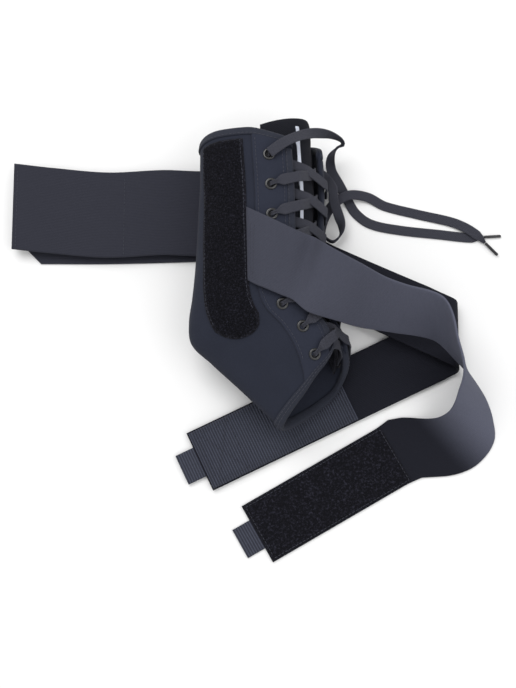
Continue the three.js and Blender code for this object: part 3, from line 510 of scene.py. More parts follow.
def grid_of(points, around, along):
    """A grid through rows of points, and its points in order. UVs are distances over a row and along them."""
    rows, columns = points.shape[:2]
    bm = bmesh.new()
    layer = bm.loops.layers.uv.new("own")
    bmesh.ops.create_grid(bm, x_segments=columns - 1, y_segments=rows - 1, size=1.0)
    order = sorted(bm.verts, key=lambda v: (round(v.co.y, ORDER_DIGITS), round(v.co.x, ORDER_DIGITS)))
    uvs = np.stack(np.broadcast_arrays(around[None, :], along[:, None]), axis=-1)
    marks = dict(zip(order, uvs.reshape(-1, 2) * MM))
    for vert, place in zip(order, (points.reshape(-1, 3) + SHIFT) * MM):
        vert.co = Vector(place)
    for face in bm.faces:
        for loop in face.loops:
            loop[layer].uv = marks[loop.vert]
    return bm, order


def fill_ends(bm):
    bmesh.ops.holes_fill(bm, edges=[e for e in bm.edges if e.is_boundary], sides=0)
    bmesh.ops.recalc_face_normals(bm, faces=bm.faces)


def tube_mesh(name, points, around, along):
    """A closed tube through rings of points, each of which ends where it began."""
    bm, _ = grid_of(points, around, along)
    bmesh.ops.remove_doubles(bm, verts=bm.verts, dist=WELD)
    bmesh.ops.recalc_face_normals(bm, faces=bm.faces)
    fill_ends(bm)
    return made_mesh(name, bm)


SLAB_ROUND = 5  # points on its rounded edge
SLAB_END = 0.35  # its thickness at its first row, as a share, and at the next
SLAB_NEXT = 0.75


def closed_slab(name, place, rows, columns, low, high, dents=None):
    """A slab on the skin with rounded edges. place gives s and angle for shares along it and round it."""
    thick = high - low
    middle = (low + high) / 2
    # the loop over the section: its top from edge to edge, round the edge, its foot and back
    bend = [(-math.cos(a), math.sin(a)) for a in np.linspace(math.pi / 2, -math.pi / 2, SLAB_ROUND)[1:-1]]
    v = np.linspace(0, 1, columns)
    top = [(k, 1.0, 0.0) for k in v]
    foot = [(k, -1.0, 0.0) for k in v[::-1]]
    right = [(1.0, b, -a) for a, b in bend]
    left = [(0.0, -b, a) for a, b in bend]
    share, level, push = np.array(top + right + foot + left + top[:1]).T
    u_grid, v_grid = np.meshgrid(np.linspace(0, 1, rows), share, indexing="ij")
    s, angle = place(u_grid, v_grid)
    lift = middle + level[None, :] * thick / 2 + np.zeros_like(u_grid)
    if dents is not None:
        lift = lift + dents(s, angle, v_grid) * (level[None, :] > 0)
    end = np.ones(rows)
    end[[0, -1]] = SLAB_END
    end[[1, -2]] = SLAB_NEXT
    points = skin(s, angle, middle + (lift - middle) * end[:, None])
    points = points + skin_frame(s, angle)[1] * (push * thick / 2)[None, :, None]
    return tube_mesh(name, points, walked_along(points[rows // 2]), walked_along(points[:, columns // 2]))


SECTION_ROUND = 8
RIB_HEIGHT = 0.1
NO_WIDTH = 1e-6
LEAST_LEAN = 0.2
LEAN_ROWS = 9  # a leaning band's width is evened out over so many rows


def ribbon_section(width, thick, columns, ribs):
    """Points round a flat band's section: over its top, round the edge, under its foot and back."""
    half = width / 2 - thick / 2
    across = np.linspace(-half, half, columns)
    wave = RIB_HEIGHT * np.cos(across / max(half, NO_WIDTH) * math.pi * ribs) if ribs else 0 * across
    top = [(a, thick / 2 + w) for a, w in zip(across, wave)]
    foot = [(a, -thick / 2 - w) for a, w in zip(across[::-1], wave[::-1])]
    bend = np.linspace(math.pi / 2, -math.pi / 2, SECTION_ROUND)[1:-1]
    right = [(half + math.cos(a) * thick / 2, math.sin(a) * thick / 2) for a in bend]
    left = [(-half - math.cos(a) * thick / 2, -math.sin(a) * thick / 2) for a in bend]
    return np.array(top + right + foot + left + top[:1])


def band_points(rows, columns, ribs, level):
    """The points of a flat band's rounded skin along its rows. A level one is kept out of the table."""
    travel = travel_of(np.array([r["at"] for r in rows]))
    faces = np.array([np.cross(t, unit(r["across"])) for r, t in zip(rows, travel)])
    lean = np.maximum(np.linalg.norm(faces, axis=1), LEAST_LEAN)
    near = min(LEAN_ROWS, len(rows) // 2 * 2 + 1)
    padded = np.pad(lean, near // 2, mode="edge")
    lean = np.convolve(padded, np.ones(near) / near, mode="valid")
    points = []
    for r, face, stretch in zip(rows, faces, lean):
        section = ribbon_section(r["width"] / stretch, r["thick"], columns, ribs)
        ring = r["at"] + unit(r["across"]) * section[:, :1] + unit(face) * section[:, 1:]
        if level:
            ring[:, 2] -= min(0.0, float(ring[:, 2].min()))
        points.append(ring)
    return np.array(points)


def band_mesh(name, rows, columns, ribs=0, level=True):
    """A flat band along rows, as a closed mesh whose UVs run round it and along it."""
    points = band_points(rows, columns, ribs, level)
    along = walked_along([r["at"] for r in rows])
    return tube_mesh(name, points, walked_along(points[len(rows) // 2]), along)


def sewn_band(name, rows, columns, finish, node, slot=None):
    return sewn(name, band_mesh(name, rows, columns), finish, node, slot=slot)


def band_length(rows):
    at = np.array([r["at"] for r in rows])
    return float(np.linalg.norm(np.diff(at, axis=0), axis=1).sum()) * MM


# Shader nodes
class Value:
    """A shader socket that plain arithmetic works on."""

    def __init__(self, shader, socket):
        self.shader = shader
        self.socket = socket

    def math(self, operation, *others):
        inputs = {i: v for i, v in enumerate((self,) + others)}
        node = self.shader.add("Math", {"operation": operation}, inputs)
        return Value(self.shader, node.outputs[0])

    def __add__(self, other):
        return self.math("ADD", other)

    __radd__ = __add__

    def __sub__(self, other):
        return self.math("SUBTRACT", other)

    def __rsub__(self, other):
        return (self * -1) + other

    def __mul__(self, other):
        return self.math("MULTIPLY", other)

    __rmul__ = __mul__

    def wave(self, pitch, phase=0.0):
        """From 0 to 1 and back once in each pitch."""
        return (self * (2 * math.pi / pitch) + phase).math("SINE") * 0.5 + 0.5

    def above(self, limit, soft):
        """0 below a limit and 1 above it, with a soft step."""
        node = self.shader.add(
            "MapRange",
            {"interpolation_type": "SMOOTHSTEP"},
            {"Value": self, "From Min": limit - soft, "From Max": limit + soft},
        )
        return Value(self.shader, node.outputs["Result"])


class Shader:
    """A material whose own nodes are made by one method."""

    def __init__(self, name, **constants):
        self.material = bpy.data.materials.new(name)
        self.material.use_nodes = True
        self.tree = self.material.node_tree
        self.surface = self.tree.nodes["Principled BSDF"]
        for socket, value in constants.items():
            self.surface.inputs[socket.replace("_", " ")].default_value = value

    def add(self, kind, settings=None, inputs=None):
        node = self.tree.nodes.new("ShaderNode" + kind)
        for key, value in (settings or {}).items():
            setattr(node, key, value)
        for key, value in (inputs or {}).items():
            if isinstance(value, Value):
                self.tree.links.new(value.socket, node.inputs[key])
            else:
                node.inputs[key].default_value = value
        return node

    def own_uv(self):
        """The piece's own UVs, over its width and along it, in millimetres."""
        uvs = self.add("UVMap", {"uv_map": "own"}).outputs[0]
        split = self.add("SeparateXYZ", None, {0: Value(self, uvs)})
        return [Value(self, split.outputs[axis]) * 1000 for axis in "XY"]

    def noise(self, pitch, detail=2.0, roughness=0.5):
        """Noise from 0 to 1 in the object's own coordinates, about a pitch in metres from lump to lump."""
        place = Value(self, self.add("TexCoord").outputs["Object"])
        settings = {"Vector": place, "Scale": 1 / pitch, "Detail": detail, "Roughness": roughness}
        return Value(self, self.add("TexNoise", None, settings).outputs[0])

    def blend(self, factor, low, high):
        """One colour turning into another, each a plain colour or a Value."""
        ends = [c if isinstance(c, Value) else (*c, 1) for c in (low, high)]
        node = self.add("Mix", {"data_type": "RGBA"}, {0: factor, 6: ends[0], 7: ends[1]})
        return Value(self, node.outputs[2])

    def tones(self, factor, colour, low, high):
        """A colour between a darker and a paler share of itself."""
        return self.blend(factor, shade(colour, low), shade(colour, high))

    def finish(self, colour, height=None, depth=0.0, roughness=None):
        """Links what varies to the surface. height from 0 to 1 stands depth metres proud."""
        self.tree.links.new(colour.socket, self.surface.inputs["Base Color"])
        if roughness is not None:
            self.tree.links.new(roughness.socket, self.surface.inputs["Roughness"])
        if height is not None:
            bump = self.add("Bump", None, {"Height": height, "Distance": depth, "Strength": 1.0})
            self.tree.links.new(bump.outputs["Normal"], self.surface.inputs["Normal"])
        return self.material


# Finishes. Wave pitches are in millimetres, noise pitches and bump depths in metres.
def shade(colour, factor):
    return tuple(min(c * factor, 1.0) for c in colour)


def cloth(name, roughness, sheen, sheen_roughness, specular):
    surface = {"Sheen_Weight": sheen, "Sheen_Roughness": sheen_roughness, "Specular_IOR_Level": specular}
    return Shader(name, Roughness=roughness, **surface)


def padded_fabric(name, colour):
    """Close-knit face fabric over padding: fine wales, a faint heather and slow lumps."""
    sh = cloth(name, 0.88, 0.03, 0.5, 0.12)
    u, v = sh.own_uv()
    knit = u.wave(0.9) * 0.6 + v.wave(0.7) * 0.4
    heather = sh.noise(0.0012, 3.0, 0.7)
    slow = sh.noise(0.022)
    tone = heather * 0.5 + slow * 0.35 + knit * 0.15
    return sh.finish(sh.tones(tone, colour, 0.72, 1.35), knit * 0.35 + heather * 0.25 + slow * 2.0, 0.00035)


def elastic_fabric(name, colour, start=None, end=None, span=None):
    """Woven elastic: lengthwise cords and a finer weft. It may turn from a start colour, painted shade at its
    seam, into its own colour and on into an end colour, painted shade, over a span.
    """
    sh = cloth(name, 0.85, 0.03, 0.45, 0.12)
    u, v = sh.own_uv()
    cords = u.wave(1.3)
    weft = (v + cords * 0.4).wave(0.85)
    heather = sh.noise(0.0016, 3.0, 0.65)
    tone = cords * 0.25 + weft * 0.2 + heather * 0.55
    base = sh.tones(tone, colour, 0.8, 1.2)
    # painted shade at the seam, turning into the paler colour over the start span
    if start is not None:
        past = v.above(PAINTED_LIGHT_SPAN / 2, PAINTED_LIGHT_SPAN / 2)
        base = sh.blend(past, sh.tones(tone, start, 0.8, 1.2), base)
    # painted shade: the darker end colour takes over across the span
    if end is not None:
        past = v.above((span[0] + span[1]) / 2, (span[1] - span[0]) / 2)
        base = sh.blend(past, base, sh.tones(tone, end, 0.8, 1.2))
    return sh.finish(base, cords * 0.5 + weft * 0.35 + heather * 0.3, 0.0003)


def ribbed_fabric(name, colour, pitch, depth):
    """Ribbed tape: ribs over its width, a pitch in millimetres apart, painted paler on their crests as a
    highlight and darker between them as painted shade.
    """
    sh = cloth(name, 0.75, 0.03, 0.4, 0.2)
    u, v = sh.own_uv()
    ribs = v.wave(pitch)
    grain = (u + ribs * 0.3).wave(0.6)
    # painted highlight on the rib crests and painted shade between them
    tone = ribs * 0.6 + grain * 0.15 + sh.noise(0.002) * 0.25
    return sh.finish(sh.tones(tone, colour, 0.3, 1.55), ribs + grain * 0.2, depth)


def braid_fabric(name, colour):
    """A flat braid: strands that slant both ways over its width."""
    sh = cloth(name, 0.8, 0.04, 0.4, 0.2)
    u, v = sh.own_uv()
    strands = (u + v * 0.9).wave(1.5).math("MAXIMUM", (u - v * 0.9).wave(1.5))
    tone = strands * 0.7 + sh.noise(0.0015) * 0.3
    return sh.finish(sh.tones(tone, colour, 0.5, 1.25), strands, 0.00035)


def mesh_fabric(name, colour):
    """Spacer mesh: rows of small round holes set half a pitch apart."""
    sh = cloth(name, 0.9, 0.02, 0.5, 0.12)
    u, v = sh.own_uv()
    holes = u.wave(1.8) * v.wave(1.8) + u.wave(1.8, math.pi) * v.wave(1.8, math.pi)
    yarn = 1 - holes.above(0.72, 0.15)
    return sh.finish(sh.tones(yarn * 0.75 + sh.noise(0.002) * 0.25, colour, 0.25, 1.2), yarn, 0.0005)


def pile_fabric(name, colour, speck, pitch):
    """Brushed pile: dark tufts a pitch in metres apart, with sparse paler tips."""
    sh = cloth(name, 0.95, 0.03, 0.6, 0.08)
    tufts = sh.noise(pitch, 4.0, 0.75)
    clumps = sh.noise(pitch * 6, 3.0, 0.6)
    tone = tufts.above(0.58, 0.1) * (clumps * 0.9 + 0.35)
    return sh.finish(sh.blend(tone, shade(colour, 0.55), speck), tufts, 0.0012)


def plain(name, colour, roughness, coat=0.0, coat_roughness=0.03):
    """A smooth finish with faint marks in its colour and gloss."""
    sh = Shader(name, Roughness=roughness, Coat_Weight=coat, Coat_Roughness=coat_roughness)
    marks = sh.noise(0.004, 3.0, 0.6)
    return sh.finish(sh.tones(marks, colour, 0.9, 1.1), roughness=marks * 0.12 + roughness - 0.06)


MATERIALS = {}
PAINTED_SHADE_FROM = 66.0  # painted shade: the upper strap's colour darkens between these distances before its flat end
PAINTED_SHADE_TO = 24.0
PAINTED_LIGHT_SPAN = 230.0  # and its colour is painted paler over this distance from its seam, from painted shade to a painted highlight
# near black: painted shade inside the eyelet bores
BORE_SHADE_COLOUR = (0.004, 0.004, 0.005)


def painted_shade_span():
    rows, _ = lateral_strap_rows()
    bent = band_length(rows) / MM - LATERAL_TAIL
    return bent - PAINTED_SHADE_FROM, bent - PAINTED_SHADE_TO


def finishes(c, rib_pitch):
    """Each finish with its maker and what that takes after the name."""
    return {
        "padded_fabric": (padded_fabric, c.fabric),
        # the facing: the boot's fabric painted 1.15 times paler, a painted highlight for its smoother face
        "facing": (padded_fabric, shade(c.fabric, 1.15)),
        "binding_tape": (ribbed_fabric, c.tape, 0.9, 0.0002),
        "loop_pile": (pile_fabric, c.pile, shade(c.pile, 4.5), 0.0013),
        "hook_pile": (pile_fabric, c.pile, shade(c.pile, 3.6), 0.0017),
        "tongue_mesh": (mesh_fabric, c.tongue),
        "pale_stripe": (plain, c.stripe, 0.6),
        # the upper strap: its colour painted 1.3 times paler as a highlight, 0.62 times as painted shade at
        # its seam, and the darker elastic as painted shade towards its end
        "elastic": (elastic_fabric, shade(c.elastic, 1.3), shade(c.elastic, 0.62), c.under, painted_shade_span()),
        "elastic_wing": (elastic_fabric, c.wing),
        # the darker elastic on the lower strap is painted shade
        "elastic_under": (elastic_fabric, c.under),
        "webbing": (ribbed_fabric, c.webbing, rib_pitch / MM, 0.0005),
        "lace": (braid_fabric, c.lace),
        "eyelet_metal": (plain, c.metal, 0.3, 0.35, 0.06),
        "aglet": (plain, c.aglet, 0.3, 0.3, 0.15),
        "thread": (plain, c.thread, 0.7),
        # a near-black finish for the discs in the eyelet bores, painted shade
        "void": (plain, BORE_SHADE_COLOUR, 0.9),
    }


def material(name):
    """The finishes are made once, from the colours in the panel."""
    if not MATERIALS:
        scene = bpy.context.scene
        table = finishes(scene.ankle_brace_colours, scene.ankle_brace_sizes.rib_pitch)
        for finish, (make, *values) in table.items():
            MATERIALS[finish] = make(finish, *values)
    return MATERIALS[name]


# Fine pieces that repeat: stitches, pile and hooks
STITCH_RINGS = 5
STITCH_SIDES = 6
STITCH_ENDS = (0.12, 0.88)  # the part of a half wave that its thickness follows
STITCH_SUNK = 0.75
STITCH_BULGE = 1.5
STRIP_UVS = (0.2, 0.5)  # steps in millimetres round a ring and from ring to ring


def strips_mesh(name, points, tube):
    """Many short strips, as strips by rings by points round each. A tube is joined round and capped."""
    count, rings, around = points.shape[:3]
    places = points.reshape(count * rings, around, 3)
    steps = np.arange(count * rings) % rings
    bm, order = grid_of(places, np.arange(around) * STRIP_UVS[0], steps * STRIP_UVS[1])
    strip_of = {vert: k // (around * rings) for k, vert in enumerate(order)}
    between = [f for f in bm.faces if len({strip_of[v] for v in f.verts}) > 1]
    bmesh.ops.delete(bm, geom=between, context="FACES")
    if tube:
        bmesh.ops.remove_doubles(bm, verts=bm.verts, dist=THREAD_WELD)
        fill_ends(bm)
    else:
        bmesh.ops.recalc_face_normals(bm, faces=bm.faces)
    return made_mesh(name, bm)


def stitch_points(lines):
    """Thread stitches along lines, each a pair of points and outward normals, close together."""
    sizes = bpy.context.scene.ankle_brace_sizes
    length, pitch, radius = sizes.stitch_length / MM, sizes.stitch_pitch / MM, sizes.thread / MM / 2
    swell = np.sin(np.linspace(*STITCH_ENDS, STITCH_RINGS) * math.pi) ** 0.5
    turn = np.linspace(0, 2 * math.pi, STITCH_SIDES + 1)[None, :, None]
    made = []
    for points, normals in lines:
        walked = walked_along(points)
        for k in range(max(int((walked[-1] - length) / pitch), 1)):
            t = k * pitch + np.linspace(0, 1, STITCH_RINGS) * length
            at = np.stack([np.interp(t, walked, column) for column in points.T], axis=1)
            up = unit(np.stack([np.interp(t, walked, column) for column in normals.T], axis=1))
            side = unit(np.cross(travel_of(at), up))
            ring = np.cos(turn) * side[:, None] + np.sin(turn) * up[:, None]
            raised = at + up * ((swell - STITCH_SUNK) * radius * STITCH_BULGE)[:, None]
            made.append(raised[:, None] + ring * (radius * swell)[:, None, None])
    return np.array(made)


def stitches(name, lines):
    return added(name, strips_mesh(name, stitch_points(lines), tube=True), "thread", "lace")


def skin_line(s, angle, lift):
    """A line over the skin as points and normals."""
    return skin(s, angle, lift), skin_frame(s, angle)[2]


FIBRE_STEPS = 4
LOOP_ARCH = 0.85  # how much of a half turn a fibre bends over
HOOK_ARCH = 0.72
HOOK_LEAN = 0.55
HOOK_WIDTH = 0.22


def fibres(name, points, normals, height, lean, width, seed, hooked=False):
    """Short fibres that stand on points: small loops that lean at random, or hooks."""
    draw = np.random.default_rng(seed)
    count = len(points)
    flat = unit(np.cross(normals, draw.normal(size=(count, 3))))
    tall = height * draw.uniform(0.75, 1.0, size=count)
    half = unit(np.cross(normals, flat)) * (width / 2)
    made = []
    for k in range(FIBRE_STEPS):
        t = k / (FIBRE_STEPS - 1)
        rise = math.sin(t * math.pi * (HOOK_ARCH if hooked else LOOP_ARCH))
        out = t**1.5 if hooked else t
        middle = points + normals * (rise * tall)[:, None] + flat * (out * (tall * lean))[:, None]
        made.append(np.stack([middle - half, middle + half], axis=1))
    return strips_mesh(name, np.stack(made, axis=1), tube=False)


# Pieces on the skin
SHELL_INSET = 1.6
EDGE_LEAN = 0.0068  # the same inset as a share of the way round
SLOW_DENT = 0.45
QUICK_DENT = 0.22
BINDING_LIP = 0.35
BINDING_CREASE = 0.12


def relief(s, angle):
    """Slow dents of the padding, in millimetres, the same for everything sewn on the boot."""
    a = np.radians(angle)
    slow = np.sin(s / 19 + 2.1 * np.sin(a * 1.5)) * np.cos(a * 3 + s / 37)
    quick = np.sin(s / 8.5 + 4 * np.cos(a)) * np.sin(a * 7 + s / 23)
    return SLOW_DENT * slow + QUICK_DENT * quick


def padding_dents(s, angle, _):
    return relief(s, angle)


def shell_place(u, v):
    share = mix(EDGE_LEAN, 1 - EDGE_LEAN, v)
    s = mix(rim_top(share) + SHELL_INSET, rim_toe(share) - SHELL_INSET, u)
    return s, share_angle(s, share)


def wrapped_binding(name, place, count):
    """Tape folded over an edge. place(k, inward, lift) gives points at each of count places along it."""
    foot = -WALL - TAPE - GAP
    top = GAP + TAPE
    radius = (top - foot) / 2
    centre = radius * 0.95
    turn = np.linspace(math.pi / 2, 3 * math.pi / 2, 13)
    bend = [(centre + math.cos(a) * radius, -WALL / 2 + math.sin(a) * radius) for a in turn]
    edge, lip = BINDING_WIDTH, BINDING_LIP
    outside = [(edge, -0.4), (edge, top - lip), (edge - lip, top)]
    outside += [(edge - k, top + BINDING_CREASE * math.sin(k * 1.2)) for k in (1.3, 2.3)]
    inside = [(edge - lip, foot), (edge, foot + lip), (edge, -WALL + 0.4)]
    section = np.array(outside + bend + inside + outside[:1])
    t = np.linspace(0, 1, count)
    points = place(t[:, None], section[None, :, 0], section[None, :, 1])
    return tube_mesh(name, points, walked_along(section), walked_along(points[:, 3]))


def rim_points(rim, sign):
    def place(t, inward, lift):
        t, inward, lift = np.broadcast_arrays(t, inward, lift)
        s = rim(t) + sign * inward
        angle = share_angle(s, t)
        return skin(s, angle, lift + relief(s, angle))

    return place


def front_points(side):
    def place(t, inward, lift):
        t, inward, lift = np.broadcast_arrays(t, inward, lift)
        share = 0.0 if side == LATERAL else 1.0
        s = mix(float(rim_top(share)) + BINDING_WIDTH, float(rim_toe(share)) - BINDING_WIDTH, t)
        angle = angle_from(s, side, inward)
        return skin(s, angle, lift + relief(s, angle))

    return place


def between_rims(side, start, width, gap):
    """Places a gap inside the rims' bindings, over a width that starts at a distance from a front edge."""

    def place(u, v):
        far = start + v * width
        share = angle_share(TOE * u, angle_from(TOE * u, side, far))
        s = mix(rim_top(share) + BINDING_WIDTH + gap, rim_toe(share) - BINDING_WIDTH - gap, u)
        return s, angle_from(s, side, far)

    return place


FACING_START = BINDING_WIDTH + GAP
STRIP_ROUNDING = 0.97


def strip_place(side, margin=0.0):
    def place(u, v):
        far = STRIP_START + margin + v * (STRIP_WIDTH - 2 * margin)
        rounded = 1 - np.sqrt(1 - (2 * v - 1) ** 2 * STRIP_ROUNDING)
        start = rim_top(angle_share(0.0, angle_from(np.zeros_like(far), side, far)))
        start = start + BINDING_WIDTH + STRIP_BELOW_RIM + margin
        s = start + u * (STRIP_LENGTH - 2 * margin - rounded * STRIP_WIDTH / 2)
        return s, angle_from(s, side, far)

    return place


def tongue_place(u, v):
    arch = TONGUE_ABOVE * (1 - (2 * v - 1) ** 2)
    s = mix(-arch + RIM_DIP_FRONT / 2, TOE - TONGUE_SHORT, u)
    lateral = angle_from(s, LATERAL, TONGUE_TUCK)
    return s, mix(lateral, angle_from(s, MEDIAL, TONGUE_TUCK) - 360, v)


def stripe_place(u, v):
    s = TONGUE_ABOVE / 2 + u * STRIPE_LENGTH
    degree = math.degrees(STRIPE_WIDTH / (LEG_WIDTH / 2))
    return s, edge_angle(s, LATERAL) - degree * (2 + v)


# The lace's held run
LACE_RIBS = 5
FREE_LACE_STEP = 1.5
HELD_LACE_STEP = 1.6


def lace_row(s, angle, lift, width):
    return row(skin(s, angle, lift), skin_frame(s, angle)[0], width, LACE)


def lace_pass(index, side):
    s0, s1 = ROWS[index], ROWS[index + 1]
    e0 = turned(edge_angle(s0, side), side)
    e1 = turned(edge_angle(s1, -side), -side)
    gap = float(np.linalg.norm(skin_point(s0, e0) - skin_point(s1, e1)))
    whole = gap + 2 * EYELET_INSET
    near = BARREL + EYELET_METAL + GAP

    def out(r, lift, width):
        s = mix(s0, s1, r / whole)
        return lace_row(s, turned(angle_from(s, side, EYELET_INSET - r), side), lift, width)

    def across(share, lift):
        s = mix(s0, s1, (EYELET_INSET + share * gap) / whole)
        return lace_row(s, mix(e0, e1, share), lift, LACE_WIDTH)

    def back(r, lift, width):
        s = mix(s1, s0, r / whole)
        return lace_row(s, turned(angle_from(s, -side, EYELET_INSET - r), -side), lift, width)

    middle = LACE_INSIDE + LACE_SLACK * (2 + side)
    return [
        out(near, LACE_INSIDE, LACE_BUNCHED),
        out(LACE_WIDTH, LACE_INSIDE, LACE_WIDTH),
        across(0.0, LACE_INSIDE),
        across(0.33, mix(LACE_INSIDE, middle, 0.7)),
        across(0.6, middle),
        across(0.84, OVER_EDGE - 1.5 * LACE),
        across(0.96, OVER_EDGE + GAP),
        back(EYELET_INSET * 0.8, OVER_EDGE + GAP, LACE_WIDTH),
        back(LACE_WIDTH, LACE_OUTSIDE + GAP, LACE_WIDTH),
        back(near, LACE_OUTSIDE + GAP / 2, LACE_BUNCHED),
    ]


def lace_bore(index, side):
    top = EYELET_TOP + LACE / 2 if index else FREE_START - LACE / 2 - 2 * GAP
    angle = eyelet_angle(ROWS[index], side)
    return [lace_row(ROWS[index], angle, lift, LACE_BUNCHED) for lift in (top, EYELET_FOOT - LACE / 2)]


def lacing_rows():
    """From the top lateral eyelet down to the toe and up to the top medial one."""
    last = EYELET_ROWS - 1
    rows = lace_bore(0, LATERAL)
    side = LATERAL
    for index in range(last):
        rows += lace_pass(index, side) + lace_bore(index + 1, -side)
        side = -side
    ends = [eyelet_angle(ROWS[last], k) for k in (side, -side)]
    for t in (0.05, 0.25, 0.5, 0.75, 0.95):
        width = LACE_WIDTH if 0.1 < t < 0.9 else LACE_BUNCHED
        rows.append(lace_row(ROWS[last], mix(ends[0], ends[1], t), LACE_INSIDE, width))
    rows += lace_bore(last, -side)[::-1]
    for index in range(last - 1, -1, -1):
        rows += lace_pass(index, side)[::-1] + lace_bore(index, side)[::-1]
        side = -side
    return rows


def free_rows(side, points):
    """The rows of a free end, from its eyelet along the chosen points."""
    angle = eyelet_angle(ROWS[0], side)
    start = skin(ROWS[0], angle, FREE_START)
    table = np.array([(*start, 0)] + list(points), float)
    behind = np.concatenate([table[:1], table[:-1]])
    ahead = np.concatenate([table[1:], table[-1:]])
    level = unit(stack(behind[:, 1] - ahead[:, 1], ahead[:, 0] - behind[:, 0], 0.0))
    across = level * cos(table[:, 3])[:, None] + stack(0.0, 0.0, sin(table[:, 3]))
    rows = [row(p[:3], a, LACE_WIDTH, LACE) for p, a in zip(table, across)]
    first = skin_frame(ROWS[0], angle)[0]
    rows[0]["across"] = first if np.dot(first, rows[1]["across"]) > 0 else -first
    return squared(smoothed(rows, FREE_LACE_STEP))


# The straps' rows
BAND_STEP = 3.0
STRAP_COLUMNS = 25
LATERAL_TAIL_OUT = 0.63  # where the lateral strap's straight run starts, as shares of its reach
LATERAL_TAIL_DOWN = 0.93
LATERAL_TAIL_ROWS = 46
MEDIAL_TAIL_ROWS = 58
MEDIAL_RUN = (0.12, 0.35, 0.55, 0.75, 0.9)
FOLD_ROWS = 13
PATCH_COLUMNS = 15


def strap_row(at, across):
    return row(at, across, STRAP_WIDTH, STRAP)


def seam_row(side, middle, slant, leaning, distance, lift):
    s = middle + (STRIP_START - distance) * math.tan(math.radians(slant))
    aside = leaning * (1 - distance / STRIP_START)
    low, high = [
        skin(at, angle_from(at, side, distance + shift), lift)
        for at, shift in ((s + STRAP_WIDTH / 2, aside), (s - STRAP_WIDTH / 2, -aside))
    ]
    return strap_row((low + high) / 2, high - low)


OVER_LACE = LACE_OUTSIDE + LACE / 2 + GAP + STRAP / 2


def flat_across(heading):
    return vec(-abs(float(sin(heading))), abs(float(cos(heading))), 0)


def tail_point(start, heading, distance):
    return start + vec(distance * float(cos(heading)), distance * float(sin(heading)), 0)


def lateral_strap_rows():
    """The rows of the lateral strap, and the middle of its end."""
    seams = (
        (STRIP_START - 2 * GAP, GAP + STRAP / 2),
        (FACING_START + FACING_WIDTH + 4 * GAP, FACING_TOP + GAP + STRAP / 2),
        (EYELET_INSET + BARREL + EYELET_FLANGE, OVER_LACE + 2 * GAP),
        (EYELET_INSET / 2, OVER_LACE + 2 * GAP),
        (0.0, OVER_LACE + 4 * GAP),
    )
    start = [seam_row(LATERAL, LATERAL_AT, STRAP_SLANT, STRAP_LEAN, *seam) for seam in seams]
    swing_x, swing_y = SWING_OUT * LEG_WIDTH, SWING_UP * LEG_HEIGHT
    run = []
    for out, down, foot, ax, ay, az in LATERAL_RUN:
        rise = STRAP_WIDTH / 2 * az + STRAP / 2 * math.sqrt(1 - az**2)
        at = vec(swing_x + out * LATERAL_REACH, swing_y - down * LATERAL_REACH, foot * LEG_DEPTH + rise)
        run.append(strap_row(at, vec(ax, ay, az)))
    out, down = LATERAL_TAIL_OUT * LATERAL_REACH, LATERAL_TAIL_DOWN * LATERAL_REACH
    tail = vec(swing_x + out, swing_y - down, STRAP / 2)
    end = tail_point(tail, TAIL_HEADING, LATERAL_TAIL)
    across = flat_across(TAIL_HEADING)
    bent = smoothed(start + run + [strap_row(tail, across)], BAND_STEP)
    flat = [strap_row(mix(tail, end, t), across) for t in np.linspace(0, 1, LATERAL_TAIL_ROWS)[1:]]
    return bent + flat, end


MEDIAL_TAIL_HEIGHT = HOOK + GAP
MEDIAL_HEADING = 180 + MEDIAL_ANGLE


def medial_strap_rows():
    """The rows of the medial strap, and the middle of its end."""
    start = seam_row(MEDIAL, MEDIAL_AT, MEDIAL_ANGLE, 0.0, STRIP_START - 2 * GAP, GAP + STRAP / 2)
    fold_x = FRONT + MEDIAL_REACH
    radius = FOLD_HEIGHT / 2
    slope = math.tan(math.radians(MEDIAL_ANGLE))
    low = MEDIAL_TAIL_HEIGHT + STRAP / 2

    def run_y(x):
        return start["at"][1] - (x - start["at"][0]) * slope

    rows = [start]
    for share in MEDIAL_RUN:
        x = mix(start["at"][0], fold_x, share)
        z = mix(STRAP / 2 + GAP + HOOK, low + FOLD_HEIGHT, float(ease((share - 0.1) / 0.9)))
        turn = 1 - float(ease((share - 0.6) / 0.4))
        across = vec(float(sin(MEDIAL_ANGLE)) * turn, float(cos(MEDIAL_ANGLE)), 0)
        rows.append(strap_row(vec(x, run_y(x), z), across))
    for turn in np.linspace(0, 180, FOLD_ROWS):
        walked = radius * math.radians(turn) / float(cos(MEDIAL_ANGLE))
        y = run_y(fold_x) - walked * float(sin(MEDIAL_ANGLE))
        at = vec(fold_x + radius * float(sin(turn)), y, low + radius * (1 + float(cos(turn))))
        rows.append(strap_row(at, vec(0, 1, 0)))
    fold_end = rows[-1]["at"]
    end = tail_point(fold_end, MEDIAL_HEADING, MEDIAL_TAIL)
    across = flat_across(MEDIAL_HEADING)
    half_turned = vec(across[0] / 2, across[1], 0)
    rows.append(strap_row(tail_point(fold_end, MEDIAL_HEADING, STRAP_WIDTH / 2), half_turned))
    rows.append(strap_row(tail_point(fold_end, MEDIAL_HEADING, STRAP_WIDTH), across))
    flat_start = rows[-1]["at"]
    bent = smoothed(rows, BAND_STEP)
    flat = [strap_row(mix(flat_start, end, t), across) for t in np.linspace(0, 1, MEDIAL_TAIL_ROWS)[1:]]
    return bent + flat, end


def tail_rows(end, heading, start, stop, height, width, thick, step=BAND_STEP):
    """Rows of a flat piece on a strap's straight run, from one distance past its end to another."""
    count = max(2, int(round((stop - start) / step)) + 1)
    rows = []
    for distance in np.linspace(start, stop, count):
        at = tail_point(end, heading, distance)
        at[2] = height + thick / 2
        rows.append(row(at, flat_across(heading), width, thick))
    return rows


